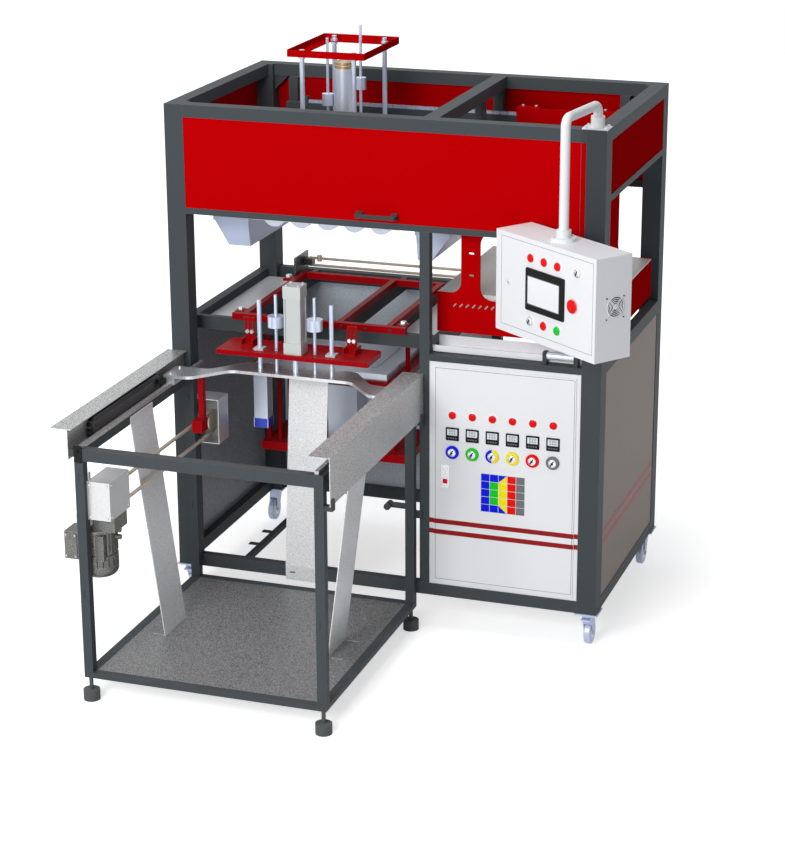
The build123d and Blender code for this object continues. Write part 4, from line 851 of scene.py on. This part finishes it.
# The thin dark disc is painted shade inside the opening.
lathe(opening, fan_at, ((0, 0), (FAN_R, 0), (FAN_R, 0.5), (FAN_R - 1, 0.8), (0, 0.8)), 40)
for ring in (10, 17, 24, 31, 38):
    turns = [radians(60 * k) for k in range(6)]
    section = [(ring + WIRE * cos(a), WIRE_RISE + WIRE * sin(a)) for a in turns]
    lathe(guard, fan_at, section, 40, closed=True)
lathe(guard, fan_at, ((0, 0.6), (8, 0.6), (8, 2.4), (6, 3.2), (0, 3.2)))
for k in range(4):
    spoke = fan_at @ Matrix.Rotation(radians(45 + 90 * k), 4, "Z") @ Matrix.Translation((0, 28 * MM, 0))
    slab(guard, spoke, 2.6, 44, 0.6, 2.6, 1.0, 0.5)
keep("fan_opening", opening, dark_steel, "control_box")
keep("fan_guard", guard, powder_white, "control_box")

# %% [markdown]
# Two kinds of screw do for most of the machine: a socket head on plates, and a hexagon nut
# or bolt on frames and lugs. Rails are held by screws sunk in their top, so the blocks pass
# over them. All come from the lathe, by an outline in units of the head's radius.

# %% Screw shapes
SOCKET_HEAD = ((1.0, 0.0), (1.0, 0.75), (0.85, 0.95), (0.5, 0.95), (0.5, 0.45), (0.0, 0.45))
HEX_HEAD = ((1.0, 0.0), (1.0, 0.6), (0.86, 0.8), (0.0, 0.8))
SUNK_RING = ((0.0, 0.0), (1.0, 0.0), (1.0, 0.04), (0.0, 0.04))


def screws(name, spots, direction, radius, body, material=steel, shape=SOCKET_HEAD, steps=12):
    """Screw heads of one kind at places in millimetres from the frame's corner."""
    bm = bmesh.new()
    outline = [(r * radius, h * radius) for r, h in shape]
    for spot in spots:
        lathe(bm, facing(place(*spot), direction), outline, steps)
    return keep(name, bm, material, body)


def four_corners(x, y, z, dx, dy):
    return [(x + i * dx, y + j * dy, z) for i in (-1, 1) for j in (-1, 1)]


print("screw shapes ready")

# %% [markdown]
# The carriage's plates are bolted to the hangers, and the hangers to blocks on the rails.
# Rails carry a screw at every pitch, counted in from their end.

# %% Screws of the heater carriage and the rails
HANGER_W, HANGER_HOLES, HANGER_DROP, PLATE_STEP, BLOCK_INSET = 96.0, (20, 76), 38.0, 6.0, 15.0
RAIL_PITCH, RAIL_END, RAIL_FROM, RAIL_SCREW = 60.0, 31.0, 275.0, 4.5
SLIDE_X, SLIDE_FROM, SLIDE_TOP = (100.0, 1025.0), -1020.0, 1030.0
HEATER_SCREWS, SLIDE_SCREWS = 24, 18
plates_low, plates_high = reach("heater_plates")
hangers_low, hangers_high = reach("heater_hangers")
hang_x = [x + dx for x in (hangers_low.x, hangers_high.x - HANGER_W) for dx in HANGER_HOLES]
hang_z = hangers_high.z - HANGER_DROP
spots = [(x, plates_low.y - PLATE_STEP, hang_z) for x in hang_x]
screws("hanger_screws_front", spots, OUT, 8, "heater_carriage")
spots = [(x, plates_high.y + PLATE_STEP, hang_z) for x in hang_x]
screws("hanger_screws_back", spots, BACK, 8, "heater_carriage")
block_y = (hangers_low.y + BLOCK_INSET, hangers_high.y - BLOCK_INSET)
screws("block_screws", [(x, y, hangers_high.z) for x in hang_x for y in block_y], UP, 7, "heater_carriage")
rails_high = reach("guide_rails")[1]
rail_x = [rails_high.x - RAIL_END - k * RAIL_PITCH for k in range(HEATER_SCREWS)]
spots = [(x, y, rails_high.z) for x in rail_x for y in block_y if x > RAIL_FROM]
screws("heater_rail_screws", spots, UP, RAIL_SCREW, "frame", dark_steel, SUNK_RING)
spots = [(x, SLIDE_FROM + k * RAIL_PITCH, SLIDE_TOP) for x in SLIDE_X for k in range(SLIDE_SCREWS)]
screws("slide_screws", spots, UP, RAIL_SCREW, "frame", bezel_silver, SUNK_RING)

# %% [markdown]
# The take-off unit's bow is screwed to its blocks, and pairs of adjusting screws on the
# brackets set how low the lift plate hangs. The chain's sheet box has a screw at each corner.

# %% Screws of the take-off unit and the stacker
BOW_SCREW_Y = (-240, -150)
LIFT_X, LIFT_Y, LIFT_CORNER = 565.0, -60.0, 25.0
BRACKET_DX, BRACKET_FACE, ADJUSTER_Z, ADJUSTER_DX = 218.0, -5.0, 1196.0, 9.5
CHAIN_BOX_X, CHAIN_BOX_Y, CHAIN_BOX_Z, CHAIN_BOX_SIDE = (120, 188), (-1020, -880), (745, 871), 200
bow_top = reach("takeoff_bow")[1].z
screws("bow_screws", [(x, y, bow_top) for x in SLIDE_X for y in BOW_SCREW_Y], UP, 7, "takeoff_slide")
adjuster_x = [LIFT_X + s * BRACKET_DX + d for s in (-1, 1) for d in (-ADJUSTER_DX, ADJUSTER_DX)]
spots = [(x, BRACKET_FACE, ADJUSTER_Z) for x in adjuster_x]
screws("bracket_adjusters", spots, OUT, 9, "takeoff_lift", bezel_silver, HEX_HEAD, 6)
lift_top = reach("lift_cylinder")[1].z
spots = four_corners(LIFT_X, LIFT_Y, lift_top, LIFT_CORNER, LIFT_CORNER)
screws("lift_cylinder_screws", spots, UP, 6, "takeoff_lift")
guard_front = reach("chain_guards")[0].y
spots = [(x, guard_front, z) for x in CHAIN_BOX_X for z in CHAIN_BOX_Z]
screws("chain_box_screws", spots, OUT, 5, "frame")
spots = [(CHAIN_BOX_SIDE, y, z) for y in CHAIN_BOX_Y for z in CHAIN_BOX_Z]
screws("chain_box_side_screws", spots, RIGHT, 5, "frame")

# %% [markdown]
# The press plate is bolted to its beams, with the cylinder's flange screwed on top of it.
# The clamp frame rests on lugs, each held down by a bolt and a nut, and has a row of holes
# along its front bar. The box's arm stands on a plate with four screws.

# %% Screws of the press, the clamp frame, the arm and the box
PRESS_X, PRESS_Y, PRESS_PLATE_TOP = 570.0, 520.0, 1915.0
FLANGE_D, PLATE_DX, PLATE_DY = 52, 150, 215
LUG_X, LUG_Y, LUG_TOP, NUT_H = (213, 920), (232, 772), 1212, 7
HOLE_X, HOLE_Z = range(260, 900, 105), 1205
ARM_X, ARM_Y, ARM_Z, ARM_DX, ARM_DY = 1750, 40, 2105, 38, 25
PEDESTAL_R, PEDESTAL_DROP = 38, 26
FAN_HOLES_BACK, FAN_HOLES_UP = (-34, 46), (158, 237)
flange = four_corners(PRESS_X, PRESS_Y, PRESS_PLATE_TOP, FLANGE_D, FLANGE_D)
screws("press_flange_screws", flange, UP, 8, "frame")
plate_bolts = four_corners(PRESS_X, PRESS_Y, PRESS_PLATE_TOP, PLATE_DX, PLATE_DY)
screws("press_plate_bolts", plate_bolts, UP, 10, "frame", bezel_silver, HEX_HEAD, 6)
clamp_front = reach("clamp_frame")[0].y
lugs = [(x, y) for x in LUG_X for y in LUG_Y]
screws("lug_nuts", [(x, y, LUG_TOP) for x, y in lugs], UP, 15, "frame", steel, HEX_HEAD, 6)
screws("lug_bolt_tops", [(x, y, LUG_TOP + NUT_H) for x, y in lugs], UP, 7, "frame", steel, HEX_HEAD, 6)
# The holes are flat dark discs, painted shade inside them.
screws("clamp_bar_holes", [(x, clamp_front, HOLE_Z) for x in HOLE_X], OUT, 6, "frame", dark_steel, SUNK_RING)
screws("arm_base_screws", four_corners(ARM_X, ARM_Y, ARM_Z, ARM_DX, ARM_DY), UP, 7, "frame")
turns = [radians(45 + 90 * k) for k in range(4)]
pedestal_z = box_high.z - PEDESTAL_DROP
pedestal = [(box_x + PEDESTAL_R * cos(a), box_y + PEDESTAL_R * sin(a), pedestal_z) for a in turns]
screws("pedestal_screws", pedestal, UP, 5, "control_box")
# The corner screws are dark as painted shade of the holes they sit in.
side_holes = bmesh.new()
for back in FAN_HOLES_BACK:
    for rise in FAN_HOLES_UP:
        lathe(side_holes, on_side(back, rise), [(r * 3, h * 3) for r, h in SOCKET_HEAD], 12)
keep("fan_screws", side_holes, dark_steel, "control_box")

# %% [markdown]
# A roller chain shows as side plates with a row of pins across them. The CAD model carries
# each chain as one solid loop, so plates and pins are set along it, a link's length apart.


# %% Chain plates and pins
def loop_points(length, radius, pitch):
    """Points at even steps round a long loop with round ends, and the outward angle at each."""
    straight = length - 2 * radius
    half_round = pi * radius
    total = 2 * (straight + half_round)
    count = round(total / pitch)
    for k in range(count):
        way = total * k / count
        if way < straight:
            yield way - straight / 2, radius, 0.0
        elif way < straight + half_round:
            angle = (way - straight) / radius
            yield straight / 2 + radius * sin(angle), radius * cos(angle), angle
        elif way < 2 * straight + half_round:
            yield straight / 2 - (way - straight - half_round), -radius, pi
        else:
            angle = (way - 2 * straight - half_round) / radius
            yield -straight / 2 - radius * sin(angle), -radius * cos(angle), angle + pi


PIN = ((0, -5.6), (2.2, -5.6), (2.2, 5.6), (0, 5.6))
CHAIN_PITCH, LINK_L, LINK_W = 12.7, 16.7, 11.0
PLATE_FROM, PLATE_TO = 4.2, 5.2
pins, plates = meshes(2)
HEATER_LOOP = (886.0, 16.0, (683.0, 925.0, 1249.0), OUT)
STACK_LOOP = (1065.0, 45.0, (160.0, -467.5, 788.0), RIGHT)
for length, radius, middle, across in (HEATER_LOOP, STACK_LOOP):
    for along, rise, angle in loop_points(length, radius, CHAIN_PITCH):
        centre = facing(place(*middle), across) @ Matrix.Translation((along * MM, rise * MM, 0))
        at = centre @ Matrix.Rotation(-angle, 4, "Z")
        lathe(pins, at, PIN, 8)
        for low, high in ((PLATE_FROM, PLATE_TO), (-PLATE_TO, -PLATE_FROM)):
            slab(plates, at, LINK_L, LINK_W, low, high, 5.2, 0.2)
keep("chain_pins", pins, steel, "frame")
keep("chain_plates", plates, chain_brass, "frame")

# %% [markdown]
# The cable carrier is a chain of plastic links. Raised bands across its outer face, one to
# a link, give it that look.

# %% Links of the cable carrier
CARRIER_L, CARRIER_R, LINK_PITCH = 640.0, 43.0, 22.0
CARRIER_X, CARRIER_Y, CARRIER_Z = 60.5, -585.0, 1033.0
bands = bmesh.new()
for along, rise, angle in loop_points(CARRIER_L, CARRIER_R, LINK_PITCH):
    spot = place(CARRIER_X, CARRIER_Y + along, CARRIER_Z + rise)
    outward = Vector((0, sin(angle), cos(angle)))
    at = Matrix.Translation(spot) @ outward.to_track_quat("Z", "X").to_matrix().to_4x4()
    slab(bands, at, 14, 18.4, -2.0, 1.0, 1.5, 0.5)
keep("carrier_bands", bands, black_plastic, "frame")

# %% [markdown]
# The press cylinder ends in a bronze-coloured cap, and the cylinder beside the mould in a
# bright blue one. Each is a cap slipped over the CAD piece's end, with broken edges. The
# heater's air cylinder has a bare tube between its two black ends.

# %% Cylinder caps
side_blue = finish("cap_blue", (0.01, 0.05, 0.6), (0.008, 0.04, 0.5), 0.3, dust=0.05, edge=(0.3, 0.4, 0.85))
CAP_H, CAP_R = 28.0, 37.8
BLUE_W, BLUE_H = 65.0, 40.4
AIR_Y, AIR_Z, AIR_CAP, AIR_R, AIR_IN = 23.0, 1203.0, 16.0, 15.3, 14.6
bronze_cap, blue_cap = meshes(2)
cap_at = facing(place(PRESS_X, PRESS_Y, reach("press_cylinder")[1].z - CAP_H), UP)
lathe(bronze_cap, cap_at, ((0, 0.2), (CAP_R, 0.2), (CAP_R, 12), (CAP_R - 1, 13), (CAP_R - 1, 15), (CAP_R, 16),
                           (CAP_R, 26), (CAP_R - 2, 28.4), (16, 28.4), (14, 27), (0, 27.4)), 48)
side_low, side_high = reach("mould_side_cylinder")
cap_spot = place((side_low.x + side_high.x) / 2, (side_low.y + side_high.y) / 2, side_low.z)
slab(blue_cap, facing(cap_spot, UP), BLUE_W, BLUE_W, 0, BLUE_H, 6.0, 1.5)
air_low, air_high = reach("heater_cylinder")
air_tube = bmesh.new()
air_at = facing(place(air_low.x + AIR_CAP, AIR_Y, AIR_Z), RIGHT)
air_l = air_high.x - air_low.x - 2 * AIR_CAP
air_outline = ((AIR_IN, 0), (AIR_R, 0.4), (AIR_R, air_l - 0.4), (AIR_IN, air_l))
lathe(air_tube, air_at, air_outline, 32, closed=True)
keep("air_cylinder_tube", air_tube, alloy, "frame")
keep("press_cylinder_cap", bronze_cap, bronze, "frame")
keep("side_cylinder_cap", blue_cap, side_blue, "mould")

# %% [markdown]
# Caster wheels turn on a bearing with a cover on each side. A lathe outline on both faces
# of every wheel shows it, and it turns with the wheel.

# %% Wheel covers
COVER = ((9, 0), (26, 0), (26, 1.2), (23, 1.8), (12, 1.8), (9, 1.2))
for spot in ("front_left", "front_right", "rear_left", "rear_right"):
    wheel_low, wheel_high = reach(f"caster_wheel_{spot}")
    middle = (wheel_low + wheel_high) / 2
    covers = bmesh.new()
    for x, direction in ((wheel_low.x, LEFTWARD), (wheel_high.x, RIGHT)):
        lathe(covers, facing(place(x, middle.y, middle.z), direction), COVER, 24, closed=True)
    keep(f"wheel_covers_{spot}", covers, steel, f"wheel_{spot}")

# %% [markdown]
# The gearmotor's fan draws air through slots in its cowl, and its terminal box has a lid
# with four screws. The slots are dark strips sunk in the cowl, painted shade of the openings.

# %% Gearmotor cowl and terminal box
MOTOR_X, MOTOR_Y, SLOT_Z, COWL_R, SLOT_COUNT = 103.0, -945.0, 545.0, 72.0, 20
# Dark strips for the slots: painted shade.
slots = bmesh.new()
for k in range(SLOT_COUNT):
    angle = radians(360 / SLOT_COUNT * k)
    outward = Vector((cos(angle), sin(angle), 0))
    at = facing(place(MOTOR_X, MOTOR_Y, SLOT_Z) + outward * COWL_R * MM, outward)
    slab(slots, at, 5, 34, -1.5, 0.25, 2.4, 0.1)
keep("cowl_slots", slots, dark_steel, "frame")
lid = bmesh.new()
LID_X, LID_FACE, LID_Z, LID_T = 8.0, -990.0, 600.0, 3.0
slab(lid, at_front(LID_X, LID_FACE, LID_Z), 50, 98, 0, LID_T, 4.0, 1.0)
keep("terminal_lid", lid, motor_grey, "frame")
spots = [(LID_X + dx, LID_FACE - LID_T, LID_Z + dz) for dx in (-19, 19) for dz in (-42, 42)]
screws("terminal_lid_screws", spots, OUT, 3.5, "frame")

# %% [markdown]
# The long red front panel is two sheets: a fine dark joint near its right end shows where
# they meet. A black plastic cap closes the top of the stacker's front left leg.

# %% Panel joint and leg cap
LEG_X, LEG_CAP_T = 90.0, 3.0
leg_front = reach("stacker_legs")[0].y
leg_cap = bmesh.new()
slab(leg_cap, at_front(LEG_X, leg_front, 994), 35, 66, 0, LEG_CAP_T, 7.0, 1.5)
cap_screw = [(r * 5, h * 5) for r, h in SOCKET_HEAD]
lathe(leg_cap, at_front(LEG_X, leg_front - LEG_CAP_T, 1006), cap_screw, 12)
keep("leg_cap", leg_cap, black_plastic, "frame")
JOINT_X, JOINT_Y, PANEL_LOW, PANEL_TOP = 1700.0, 2.0, 1686.0, 2049.0
joint = bmesh.new()
joint_at = at_front(JOINT_X, JOINT_Y, (PANEL_LOW + PANEL_TOP) / 2)
slab(joint, joint_at, 1.6, PANEL_TOP - PANEL_LOW, 0, 0.15, 0.3, 0.05)
keep("panel_joint", joint, dark_steel, "frame")
